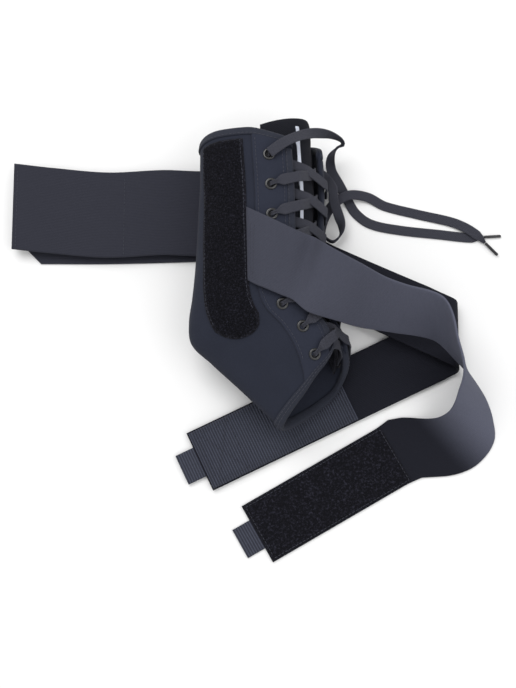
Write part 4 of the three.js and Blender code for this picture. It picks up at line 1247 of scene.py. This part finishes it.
def tail_line(end, heading, corners, height):
    """A line on a strap's straight run through (distance past its end, sideways) corners."""
    along = vec(float(cos(heading)), float(sin(heading)), 0)
    across = flat_across(heading)
    base = vec(end[0], end[1], height)
    points = []
    for (d0, w0), (d1, w1) in zip(corners, corners[1:]):
        for t in np.linspace(0, 1, 40):
            points.append(base + along * mix(d0, d1, t) + across * mix(w0, w1, t))
    points = np.array(points)
    return points, np.tile(vec(0, 0, 1), (len(points), 1))


HOOK_EDGE = 1.2  # a patch is bare this far from its long edges
HOOK_END = 1.5
HOOK_SUNK = 0.3


def hooked_patch(name, rows, node, pitch, top, seed, height):
    """A patch along rows with hooks on its top, or on its foot where top is below 0."""
    base = sewn_band(f"{name}_hook_base", rows, PATCH_COLUMNS, "hook_pile", node)
    start, stop = rows[0]["at"], rows[-1]["at"]
    half = rows[0]["width"] / 2 - HOOK_EDGE
    length = float(np.linalg.norm(stop - start))
    a, b = np.meshgrid(np.arange(HOOK_END, length - HOOK_END, pitch), np.arange(-half, half, pitch))
    a = (a + (np.arange(a.shape[0]) % 2)[:, None] * pitch / 2).ravel()
    points = start + unit(stop - start) * a[:, None] + unit(rows[0]["across"]) * b.ravel()[:, None]
    points[:, 2] += math.copysign(rows[0]["thick"] / 2 - HOOK_SUNK, top)
    normals = np.tile(vec(0, 0, math.copysign(1, top)), (len(points), 1))
    mesh = fibres(f"{name}_hooks", points, normals, height, HOOK_LEAN, HOOK_WIDTH, seed, hooked=True)
    return [base, added(f"{name}_hooks", mesh, "hook_pile")]


# The cuff's rows
CUFF_MIDDLE = LEG_HEIGHT - CUFF_AT
CUFF_INSET = 0.05
CUFF_BACK = -FRONT + CUFF_INSET * LEG_WIDTH


def cuff_row(x, y, z, width=CUFF_WIDTH):
    return row(vec(x, y, z), vec(0, 1, 0), width, CUFF)


def cuff_rows():
    """The rows of the cuff from the upper wing's end round its fold to the lower wing's end."""
    fold_x = CUFF_BACK + CUFF_TUCK - CUFF_OPEN / 2
    rows = [
        cuff_row(CUFF_BACK - x * CUFF_LENGTH, CUFF_MIDDLE + y * CUFF_LENGTH, CUFF / 2 + CUFF_OPEN * lift)
        for x, y, lift in UPPER_WING
    ]
    for turn in np.linspace(0, 180, 9):
        z = CUFF / 2 + CUFF_OPEN / 2 * (1 + float(cos(turn)))
        y = CUFF_MIDDLE - CUFF_SIDE * turn / 180 / 2
        rows.append(cuff_row(fold_x + CUFF_OPEN / 2 * float(sin(turn)), y, z))
    low_y = CUFF_MIDDLE - CUFF_SIDE
    low_x = CUFF_BACK - CUFF_LOWER
    rows.append(cuff_row(CUFF_BACK - CUFF_LOWER / 2, low_y, CUFF / 2))
    rows.append(cuff_row(low_x + CUFF_CLIP, low_y, CUFF / 2))
    tip = [
        cuff_row(low_x + CUFF_CLIP * t, low_y, CUFF / 2, CUFF_WIDTH - 2 * CUFF_CLIP * (1 - t))
        for t in np.linspace(1, 0, 6)[1:]
    ]
    return smoothed(rows, BAND_STEP) + tip


# What a user may change
def srgb(r, g, b):
    """A colour given in the usual 0 to 255 steps, as a shader takes it."""
    return tuple(((c / 255 + 0.055) / 1.055) ** 2.4 if c > 10 else c / 255 / 12.92 for c in (r, g, b))


def size_property(name, description, default):
    return bpy.props.FloatProperty(
        name=name, description=description, default=default, min=0.0001, max=0.02, unit="LENGTH", precision=5
    )


def colour_property(name, description, default):
    return bpy.props.FloatVectorProperty(
        name=name, description=description, default=default, min=0.0, max=1.0, size=3, subtype="COLOR"
    )


class AnkleBraceSizes(bpy.types.PropertyGroup):
    stitch_length: size_property("Stitch length", "Length of one thread stitch", 0.0024)
    stitch_pitch: size_property("Stitch pitch", "From one stitch's start to the next one's", 0.0032)
    thread: size_property("Thread", "Diameter of the sewing thread", 0.0005)
    hook_pitch: size_property("Hook pitch", "From one hook to the next on the hook patches", 0.0016)
    rib_pitch: size_property("Rib pitch", "From one rib of the webbing to the next", 0.0021)
    wall: size_property("Wall", "Thickness of the padded wall, as in the CAD part", WALL * MM)


class AnkleBraceColours(bpy.types.PropertyGroup):
    fabric: colour_property("Fabric", "Padded fabric of the boot", srgb(37, 40, 51))
    tape: colour_property("Tape", "Edge binding", srgb(43, 46, 57))
    pile: colour_property("Pile", "Loop strips and hook patches", srgb(24, 24, 31))
    tongue: colour_property("Tongue", "Mesh of the tongue", srgb(26, 27, 34))
    stripe: colour_property("Stripe", "Plain stripe on the tongue", srgb(196, 201, 214))
    elastic: colour_property("Elastic", "Upper strap", srgb(78, 80, 93))
    wing: colour_property("Wing", "Wide elastic wings", srgb(47, 48, 57))
    # under: a darker copy of the elastic, painted shade on the lower strap and on the upper strap's end
    under: colour_property("Under", "Lower strap and the upper one's darker end", srgb(27, 28, 36))
    webbing: colour_property("Webbing", "Ribbed webbing and pull tabs", srgb(60, 63, 75))
    lace: colour_property("Lace", "Flat lace", srgb(58, 59, 68))
    metal: colour_property("Eyelets", "Enamelled eyelets", srgb(14, 14, 17))
    aglet: colour_property("Aglets", "Tips of the lace", srgb(24, 24, 28))
    thread: colour_property("Stitches", "Sewing thread", srgb(50, 52, 63))
    floor: colour_property("Floor", "Table under the brace", srgb(238, 238, 238))


# The pieces, each made by an operator
CAMERA_DISTANCE = 0.85
CAMERA_HEIGHT = 82.0  # degrees above the table
CAMERA_TARGET = Vector((0.0044, 0.0009, 0.0))
CAMERA_LENS = 36.77
CAMERA_SENSOR = 24.0
TABLE_SIZE = 6.0
WORLD_STRENGTH = 0.75
LIGHTS = {  # place, size and power
    "key_light": ((-0.5, 0.7, 1.3), 1.0, 13.0),
    "fill_light": ((0.9, -0.3, 1.1), 1.2, 5.0),
}


def aimed(piece, place, towards):
    piece.location = place
    piece.rotation_euler = towards.to_track_quat("-Z", "Y").to_euler()
    return piece


class BraceOperator(bpy.types.Operator):
    """Runs a piece's own build with the scene"""

    bl_options = {"REGISTER", "UNDO"}

    def execute(self, context):
        self.build(context.scene)
        return {"FINISHED"}


class ANKLEBRACE_OT_stage(BraceOperator):
    """Adds the camera, the table and the soft lights"""

    bl_idname = "ankle_brace.stage"
    bl_label = "Stage"

    def build(self, scene):
        data = bpy.data.cameras.new("camera")
        data.sensor_fit = "VERTICAL"
        data.sensor_height = CAMERA_SENSOR
        data.lens = CAMERA_LENS
        back = Vector((0.0, -float(cos(CAMERA_HEIGHT)), float(sin(CAMERA_HEIGHT))))
        place = CAMERA_TARGET + back * CAMERA_DISTANCE
        bpy.context.scene.camera = aimed(linked("camera", data), place, -back)
        bm = bmesh.new()
        bmesh.ops.create_grid(bm, x_segments=2, y_segments=2, size=TABLE_SIZE)
        sh = Shader("table", Roughness=0.8, Specular_IOR_Level=0.1)
        sh.surface.inputs["Base Color"].default_value = (*scene.ankle_brace_colours.floor, 1)
        new_object("table", made_mesh("table", bm), sh.material)
        scene.world = bpy.data.worlds.new("studio")
        scene.world.use_nodes = True
        background = scene.world.node_tree.nodes["Background"]
        background.inputs["Color"].default_value = (1, 1, 1, 1)
        background.inputs["Strength"].default_value = WORLD_STRENGTH
        for name, (place, size, power) in LIGHTS.items():
            light = bpy.data.lights.new(name, "AREA")
            light.size = size
            light.energy = power
            aimed(linked(name, light), place, -Vector(place))
        scene.view_settings.view_transform = "Standard"


TAPERED_ROWS = 6  # the lace narrows over these into its aglet
AGLET_FLAT = 0.8
AGLET_PINCHES = (0.2, 0.75)  # along it, as shares
AGLET_PINCH = 0.12
AGLET_PINCH_WIDTH = 0.04
AGLET_TIP = 0.06  # the share of it that is rounded


class ANKLEBRACE_OT_lace_ends(BraceOperator):
    """Lays the lace's two free ends with their aglets"""

    bl_idname = "ankle_brace.lace_ends"
    bl_label = "Lace ends"

    def build(self, scene):
        for letter, side, points in (("a", LATERAL, LACE_END_A), ("b", MEDIAL, LACE_END_B)):
            rows = free_rows(side, points)
            for k, r in enumerate(rows[-TAPERED_ROWS:]):
                r["width"] = mix(LACE_WIDTH, AGLET, (k + 1) / TAPERED_ROWS)
                r["thick"] = mix(LACE, AGLET * AGLET_FLAT, (k + 1) / TAPERED_ROWS)
            mesh = band_mesh(f"free_lace_{letter}", rows, 21, ribs=LACE_RIBS)
            lace = sewn(f"free_lace_{letter}", mesh, "lace", f"lace_end_{letter}")
            tip = self.aglet(letter, rows)
            path = [tuple((r["at"] + SHIFT) * MM) for r in rows]
            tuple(path[0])
            band_length(rows)

    def aglet(self, letter, rows):
        """A pinched sheath over the lace's end, closed by a rounded tip."""
        travel = unit((rows[-1]["at"] - rows[-2]["at"]) * vec(1, 1, 0))
        side = vec(-travel[1], travel[0], 0)
        start = rows[-1]["at"] + travel * GAP
        start[2] = max(start[2], AGLET / 2)
        rounded = 1 - AGLET_TIP * np.array([0.55, 0.2, 0.05, 0.0])
        lengths = np.concatenate([np.linspace(0, 1 - AGLET_TIP, 14), rounded])
        swell = np.concatenate([[0.82, 0.97], np.ones(12), [0.92, 0.75, 0.45, 0.05]])
        turn = np.linspace(0, 2 * math.pi, 19)
        round_it = side * np.cos(turn)[:, None] + vec(0, 0, 1) * np.sin(turn)[:, None]
        dips = [AGLET_PINCH * np.exp(-(((lengths - at) / AGLET_PINCH_WIDTH) ** 2)) for at in AGLET_PINCHES]
        radii = AGLET / 2 * swell * (1 - dips[0] - dips[1])
        centres = start + travel * (AGLET_LENGTH * lengths)[:, None]
        points = centres[:, None] + round_it * radii[:, None, None]
        mesh = tube_mesh(f"tip_{letter}", points, turn * AGLET / 2, lengths * AGLET_LENGTH)
        return sewn(f"tip_{letter}", mesh, "aglet", f"aglet_{letter}")


BOOT_GRID = (150, 210)


class ANKLEBRACE_OT_boot(BraceOperator):
    """Builds the boot's padded wall with its dents"""

    bl_idname = "ankle_brace.boot"
    bl_label = "Boot"

    def build(self, scene):
        grid = BOOT_GRID
        wall = scene.ankle_brace_sizes.wall / MM
        mesh = closed_slab("padded_boot", shell_place, *grid, -wall, 0.0, padding_dents)
        sewn("padded_boot", mesh, "padded_fabric", "shell")


STITCH_POINTS = 400  # along a seam
BINDING_SEAM = BINDING_WIDTH - 1.2  # how far in from the edge
TOE_SEAMS = (BINDING_SEAM, BINDING_WIDTH - 3.4)
SEAM_ENDS = 0.012
THREAD_LIFT = 0.12


class ANKLEBRACE_OT_bindings(BraceOperator):
    """Folds the binding tape over the rims and the front edges, and stitches it"""

    bl_idname = "ankle_brace.bindings"
    bl_label = "Bindings"

    def build(self, scene):
        places = {
            "top_binding": rim_points(rim_top, 1),
            "toe_binding": rim_points(rim_toe, -1),
            "lateral_front_binding": front_points(LATERAL),
            "medial_front_binding": front_points(MEDIAL),
        }
        lines = []
        t = np.linspace(SEAM_ENDS, 1 - SEAM_ENDS, STITCH_POINTS)
        lift = GAP + TAPE + THREAD_LIFT
        for node, place in places.items():
            sewn(f"{node}_tape", wrapped_binding(f"{node}_tape", place, 200), "binding_tape", node)
            for inward in TOE_SEAMS if node == "toe_binding" else TOE_SEAMS[:1]:
                points = place(t, inward, lift)
                lines.append((points, unit(place(t, inward, lift + 1) - points)))
        stitches("binding_stitches", lines)


SIDES = {"lateral": LATERAL, "medial": MEDIAL}
SUNK = 0.6  # an overlay's foot lies this far inside the wall
FACING_DENTS = 0.6  # the share of the padding's dents that a facing follows
FACING_CROWN = 0.15
FACING_OVERLAP = -1.5
FACING_SEAM = 1.6  # how far in from its edges
FACING_SEAM_ENDS = (12, 9)
FACING_THREAD_LIFT = 0.1


def facing_dents(s, angle, share):
    return relief(s, angle) * FACING_DENTS + FACING_CROWN * np.sin(np.clip(share, 0, 1) * math.pi)


class ANKLEBRACE_OT_facings(BraceOperator):
    """Lays the two eyelet facings and stitches their edges"""

    bl_idname = "ankle_brace.facings"
    bl_label = "Facings"

    def build(self, scene):
        lines = []
        above, below = FACING_SEAM_ENDS
        s = np.linspace(BINDING_WIDTH + above, TOE - BINDING_WIDTH - below, STITCH_POINTS)
        for name, side in SIDES.items():
            place = between_rims(side, FACING_START, FACING_WIDTH, FACING_OVERLAP)
            mesh = closed_slab(f"{name}_eyelet_facing", place, 160, 24, -SUNK, FACING_TOP, facing_dents)
            sewn(f"{name}_eyelet_facing", mesh, "facing", f"{name}_facing")
            for distance in (FACING_START + FACING_SEAM, FACING_START + FACING_WIDTH - FACING_SEAM):
                angle = angle_from(s, side, distance)
                lift = FACING_TOP + relief(s, angle) * FACING_DENTS + FACING_THREAD_LIFT
                lines.append(skin_line(s, angle, lift))
        stitches("facing_stitches", lines)


LOOP_COUNTS = {"lateral": 15000, "medial": 2500}
LOOP_DRAW = 11  # seeds, to which a side's sign is added
LOOP_LEAN_DRAW = 5
LOOP_MARGIN = 1.6
LOOP_ROOT = GAP + PILE * 0.5
LOOP_HEIGHT = PILE * 0.62
LOOP_LEAN = 1.2
LOOP_WIDTH = 0.2
PILE_BASE = GAP + PILE * 0.55
STRIP_SEAM = 1.1


class ANKLEBRACE_OT_loop_strips(BraceOperator):
    """Covers the two loop strips with a pile of small loops"""

    bl_idname = "ankle_brace.loop_strips"
    bl_label = "Loop strips"

    def build(self, scene):
        lines = []
        u = np.linspace(0.0, 1.0, 300)
        for name, side in SIDES.items():
            count = LOOP_COUNTS[name] // 1
            base = f"{name}_strip_base"
            mesh = closed_slab(base, strip_place(side), 110, 30, -SUNK, PILE_BASE, padding_dents)
            sewn(base, mesh, "loop_pile", f"{name}_loop_strip")
            draw = np.random.default_rng(LOOP_DRAW + side)
            s, angle = strip_place(side, LOOP_MARGIN)(draw.uniform(0, 1, count), draw.uniform(0, 1, count))
            points, normals = skin_line(s, angle, 0.0)
            points = points + normals * (LOOP_ROOT + relief(s, angle))[:, None]
            seed = LOOP_LEAN_DRAW + side
            mesh = fibres(f"{name}_loops", points, normals, LOOP_HEIGHT, LOOP_LEAN, LOOP_WIDTH, seed)
            added(f"{name}_loops", mesh, "loop_pile")
            for v in (0.0, 1.0):
                s, angle = strip_place(side, STRIP_SEAM)(u, np.full(u.shape, v))
                lines.append(skin_line(s, angle, PILE_BASE + relief(s, angle)))
        stitches("strip_stitches", lines)


EYELET_STEPS = 32  # round a ring
ROLL_POINTS = 10
ROLL_SUNK = 0.2
ROLL_CROWN = 0.25
RIM_SUNK = 0.4
# the painted-shade disc in each bore lies this far over the facing and overlaps the bore by this much
BORE_SHADE_LIFT = 0.15
BORE_SHADE_OVERLAP = 0.1


class ANKLEBRACE_OT_eyelets(BraceOperator):
    """Sets the sixteen eyelets as spun metal rings, with a near-black disc in each bore as painted shade"""

    bl_idname = "ankle_brace.eyelets"
    bl_label = "Eyelets"

    def build(self, scene):
        bm = bmesh.new()
        for s in ROWS:
            for side in SIDES.values():
                self.ring(bm, s, side)
        bmesh.ops.recalc_face_normals(bm, faces=bm.faces)
        nodes = [f"{name}_eyelet_{k + 1}" for name in SIDES for k in range(EYELET_ROWS)]
        rings = sewn("eyelet_rings", made_mesh("eyelet_rings", bm), "eyelet_metal", *nodes)
        # the second finish is the painted shade of the bores
        rings.data.materials.append(material("void"))

    def ring(self, bm, s, side):
        angle = eyelet_angle(s, side)
        along, _, out = skin_frame(s, angle)
        third = np.cross(out, along)
        base = skin_point(s, angle) + out * float(relief(s, angle)) * FACING_DENTS
        # the flange is a rolled half round between the bore and the rim
        outer = BARREL + EYELET_FLANGE
        middle = (EYELET_BORE + outer) / 2
        roll = (outer - EYELET_BORE) / 2
        seat = EYELET_SEAT - ROLL_SUNK
        crown = EYELET_TOP - EYELET_SEAT + ROLL_CROWN
        rim = FACING_TOP - RIM_SUNK
        profile = [(EYELET_BORE, EYELET_FOOT), (EYELET_BORE, seat)]
        for t in np.linspace(math.pi, 0, ROLL_POINTS):
            profile.append((middle + roll * math.cos(t), seat + crown * math.sin(t) ** 0.8))
        profile += [(outer, rim), (BARREL, rim), (BARREL, EYELET_FOOT)]
        first = [bm.verts.new(Vector((base + along * r + out * z + SHIFT) * MM)) for r, z in profile]
        edges = [bm.edges.new(pair) for pair in zip(first, first[1:] + first[:1])]
        centre = Vector((base + SHIFT) * MM)
        whole = {"angle": 2 * math.pi, "steps": EYELET_STEPS, "use_merge": True}
        bmesh.ops.spin(bm, geom=first + edges, cent=centre, axis=Vector(out), **whole)
        # a near-black disc over the bore, painted shade for the hole
        radius = (EYELET_BORE + BORE_SHADE_OVERLAP) * MM
        made = bmesh.ops.create_circle(bm, cap_ends=True, segments=24, radius=radius)
        for vert in made["verts"]:
            x, y = vert.co.x / MM, vert.co.y / MM
            vert.co = Vector((base + along * x + third * y + out * (FACING_TOP + BORE_SHADE_LIFT) + SHIFT) * MM)
        for face in {f for vert in made["verts"] for f in vert.link_faces}:
            face.material_index = 1


QUILT_PITCH = 17
QUILT_DEPTH = 0.5
STRIPE_SUNK = 0.3


def quilting(s, _, share):
    """The tongue's sewn channels, with its long edges drawn in."""
    quilt = np.abs(np.sin(np.clip(s, 0, TOE) / QUILT_PITCH * math.pi)) ** 0.5
    return QUILT_DEPTH * (np.sin(np.clip(share, 0, 1) * math.pi) ** 0.4 * quilt - 1)


class ANKLEBRACE_OT_tongue(BraceOperator):
    """Makes the padded tongue and its plain stripe"""

    bl_idname = "ankle_brace.tongue"
    bl_label = "Tongue"

    def build(self, scene):
        mesh = closed_slab("padded_tongue", tongue_place, 160, 60, TONGUE_FOOT, TONGUE_TOP, quilting)
        sewn("padded_tongue", mesh, "tongue_mesh", "tongue")
        low, high = TONGUE_TOP - STRIPE_SUNK, TONGUE_TOP + GAP + STRIPE
        mesh = closed_slab("stripe_tape", stripe_place, 60, 8, low, high)
        sewn("stripe_tape", mesh, "pale_stripe", "tongue_stripe")


class ANKLEBRACE_OT_lacing(BraceOperator):
    """Threads the flat lace through the eyelets"""

    bl_idname = "ankle_brace.lacing"
    bl_label = "Lacing"

    def build(self, scene):
        rows = squared(smoothed(lacing_rows(), HELD_LACE_STEP))
        sewn("laced_run", band_mesh("laced_run", rows, 15, LACE_RIBS, level=False), "lace", "lacing")


def declare_sheet(rows):
    flat = (rows[0]["width"] * MM, band_length(rows))


def seam_stitches(rows, places, margin):
    """Stitch lines over a band's width at some of its rows, on its outer face."""
    lines = []
    for k in places:
        r = rows[k]
        side = unit(r["across"])
        face = unit(np.cross(unit(rows[k + 1]["at"] - r["at"]), side))
        reach = np.linspace(-r["width"] / 2 + margin, r["width"] / 2 - margin, 60)
        points = r["at"] + side * reach[:, None] + face * (r["thick"] / 2 + 0.05)
        lines.append((points, np.tile(face, (60, 1))))
    return lines


def boxed(near, far, half):
    """The corners of a stitched box on a strap's end, back to the first."""
    return (-near, -half), (-far, -half), (-far, half), (-near, half), (-near, -half)


TAB_TUCK = 6.0
TAB_STEP = 1.0
PATCH_WIDTH = STRAP_WIDTH - 2 * PATCH_MARGIN
PATCH_SEAM = PATCH_WIDTH / 2 - 1.2
STRAP_SEAM_MARGIN = 1.5
UPPER_BASE = HOOK * 0.6
UPPER_HOOKS = HOOK + 0.2
UPPER_TAB = STRAP * 0.9
BOX_INSET = 2.6
BOX_ENDS = (4.0, 3.0)  # the webbing's stitched box stays so far from its ends
THREAD_HEIGHT = 0.1  # over a patch, and over the webbing with its ribs
RIBBED_THREAD_HEIGHT = 0.3
LOWER_BASE_AT = 0.6
LOWER_BASE = HOOK * 0.7
UNDER_HOOKS = 0.6  # height of the hooks on a patch that faces the table
UNDER_HOOK_SPREAD = 1.5
WEBBING_STEP = 0.42
RIB_DEPTH = 0.3
CROSS_NEAR = 6.0  # the crossed stitching lies between these distances before the end
CROSS_FAR = 34.0


class ANKLEBRACE_OT_lateral_strap(BraceOperator):
    """Swings the lateral elastic strap out past the boot, with its hook patch and pull tab"""

    bl_idname = "ankle_brace.lateral_strap"
    bl_label = "Lateral strap"

    def build(self, scene):
        rows, end = lateral_strap_rows()
        run = functools.partial(tail_rows, end, TAIL_HEADING)
        strap = sewn_band("upper_strap", rows, STRAP_COLUMNS, "elastic", "lateral_strap")
        patch_rows = run(-HOOK_LENGTH - PATCH_MARGIN, -PATCH_MARGIN, STRAP, PATCH_WIDTH, UPPER_BASE)
        pitch = scene.ankle_brace_sizes.hook_pitch / MM
        pieces = hooked_patch("upper", patch_rows, "lateral_hook_patch", pitch, 1, 3, UPPER_HOOKS)
        tab_rows = run(-TAB_TUCK, GAP + TAB_LENGTH, 0.0, TAB_WIDTH, UPPER_TAB, TAB_STEP)
        pieces.append(sewn_band("upper_tab", tab_rows, PATCH_COLUMNS, "webbing", "lateral_pull_tab"))
        box = boxed(BOX_INSET, HOOK_LENGTH, PATCH_SEAM)
        lines = [tail_line(end, TAIL_HEADING, box, STRAP + UPPER_BASE + THREAD_HEIGHT)]
        stitches("upper_strap_stitches", lines + seam_stitches(rows, (1, 2), STRAP_SEAM_MARGIN))
        declare_sheet(rows)


class ANKLEBRACE_OT_medial_strap(BraceOperator):
    """Folds the medial elastic strap back under the toe, with its webbing end and hook patch"""

    bl_idname = "ankle_brace.medial_strap"
    bl_label = "Medial strap"

    def build(self, scene):
        sizes = scene.ankle_brace_sizes
        rows, end = medial_strap_rows()
        run = functools.partial(tail_rows, end, MEDIAL_HEADING)
        # the darker elastic on the lower strap is painted shade
        strap = sewn_band("lower_strap", rows, STRAP_COLUMNS, "elastic_under", "medial_strap", "elastic")
        patch_rows = run(-HOOK_LENGTH - PATCH_MARGIN, -PATCH_MARGIN, LOWER_BASE_AT, PATCH_WIDTH, LOWER_BASE)
        pitch = sizes.hook_pitch / MM * UNDER_HOOK_SPREAD
        pieces = hooked_patch("lower", patch_rows, "medial_hook_patch", pitch, -1, 4, UNDER_HOOKS)
        base = MEDIAL_TAIL_HEIGHT + STRAP
        webbing = run(-WEBBING_LENGTH, -PATCH_MARGIN, base, PATCH_WIDTH, WEBBING + GAP, WEBBING_STEP)
        for k, r in enumerate(webbing):
            r["thick"] += RIB_DEPTH * math.sin(k * WEBBING_STEP / (sizes.rib_pitch / MM) * 2 * math.pi)
        pieces.append(sewn_band("ribbed_end", webbing, PATCH_COLUMNS, "webbing", "medial_webbing_end"))
        tab_rows = run(-TAB_TUCK, GAP + TAB_LENGTH, MEDIAL_TAIL_HEIGHT, TAB_WIDTH, TAB, TAB_STEP)
        pieces.append(sewn_band("lower_tab", tab_rows, PATCH_COLUMNS, "webbing", "medial_pull_tab"))
        near, far = BOX_ENDS[0], WEBBING_LENGTH - BOX_ENDS[1]
        corners = [boxed(near + inset, far - inset, PATCH_SEAM - inset) for inset in (0.0, BOX_INSET)]
        corners += [
            ((-CROSS_FAR, -PATCH_SEAM), (-CROSS_NEAR, PATCH_SEAM)),
            ((-CROSS_FAR, PATCH_SEAM), (-CROSS_NEAR, -PATCH_SEAM)),
            ((-CROSS_FAR, -PATCH_SEAM), (-CROSS_FAR, PATCH_SEAM)),
        ]
        top = base + WEBBING + GAP + RIBBED_THREAD_HEIGHT
        lines = [tail_line(end, MEDIAL_HEADING, line, top) for line in corners]
        stitches("lower_strap_stitches", lines + seam_stitches(rows, (3, 4), STRAP_SEAM_MARGIN))
        declare_sheet(rows)


CUFF_HOOK_PITCH = 2.4
CUFF_SEAM_ROWS = (1, 30)
CUFF_SEAM_MARGIN = 2.0


class ANKLEBRACE_OT_cuff(BraceOperator):
    """Folds the wide elastic cuff under the boot's back, with its patch"""

    bl_idname = "ankle_brace.cuff"
    bl_label = "Cuff"

    def build(self, scene):
        rows = cuff_rows()
        band = sewn_band("elastic_cuff", rows, 35, "elastic_wing", "cuff_band", "elastic")
        wing = np.array(UPPER_WING, float)[::-1]
        aside, lift = [smooth(wing[:, 0], wing[:, k]) for k in (1, 2)]
        patch_rows = []
        for out in np.linspace(1, 1 - CUFF_PATCH / CUFF_LENGTH, 31):
            at = vec(
                CUFF_BACK - out * CUFF_LENGTH + PATCH_MARGIN,
                CUFF_MIDDLE + float(aside(out)) * CUFF_LENGTH,
                CUFF_OPEN * float(lift(out)) - HOOK / 2,
            )
            patch_rows.append(row(at, vec(0, 1, 0), CUFF_WIDTH - 2 * PATCH_MARGIN, HOOK))
        pieces = hooked_patch("cuff", patch_rows, "cuff_patch", CUFF_HOOK_PITCH, -1, 6, UNDER_HOOKS)
        stitches("cuff_stitches", seam_stitches(rows, CUFF_SEAM_ROWS, CUFF_SEAM_MARGIN))
        declare_sheet(rows)


OPERATORS = (
    ANKLEBRACE_OT_stage,
    ANKLEBRACE_OT_lace_ends,
    ANKLEBRACE_OT_boot,
    ANKLEBRACE_OT_bindings,
    ANKLEBRACE_OT_facings,
    ANKLEBRACE_OT_loop_strips,
    ANKLEBRACE_OT_eyelets,
    ANKLEBRACE_OT_tongue,
    ANKLEBRACE_OT_lacing,
    ANKLEBRACE_OT_lateral_strap,
    ANKLEBRACE_OT_medial_strap,
    ANKLEBRACE_OT_cuff,
)


class ANKLEBRACE_PT_panel(bpy.types.Panel):
    """Lists the brace's sizes, colours and pieces"""

    bl_idname = "ANKLEBRACE_PT_panel"
    bl_label = "Ankle brace"
    bl_space_type = "VIEW_3D"
    bl_region_type = "UI"
    bl_category = "Ankle brace"

    def draw(self, context):
        for group in (context.scene.ankle_brace_sizes, context.scene.ankle_brace_colours):
            box = self.layout.box()
            for name in group.__annotations__:
                box.prop(group, name)
        for operator in OPERATORS:
            self.layout.operator(operator.bl_idname)


CLASSES = (AnkleBraceSizes, AnkleBraceColours, *OPERATORS, ANKLEBRACE_PT_panel)


def register():
    for item in CLASSES:
        bpy.utils.register_class(item)
    bpy.types.Scene.ankle_brace_sizes = bpy.props.PointerProperty(type=AnkleBraceSizes)
    bpy.types.Scene.ankle_brace_colours = bpy.props.PointerProperty(type=AnkleBraceColours)


def unregister():
    del bpy.types.Scene.ankle_brace_colours
    del bpy.types.Scene.ankle_brace_sizes
    for item in reversed(CLASSES):
        bpy.utils.unregister_class(item)


def main():
    register()
    for operator in OPERATORS:
        category, name = operator.bl_idname.split(".")
        getattr(getattr(bpy.ops, category), name)()


if __name__ == "__main__":
    main()
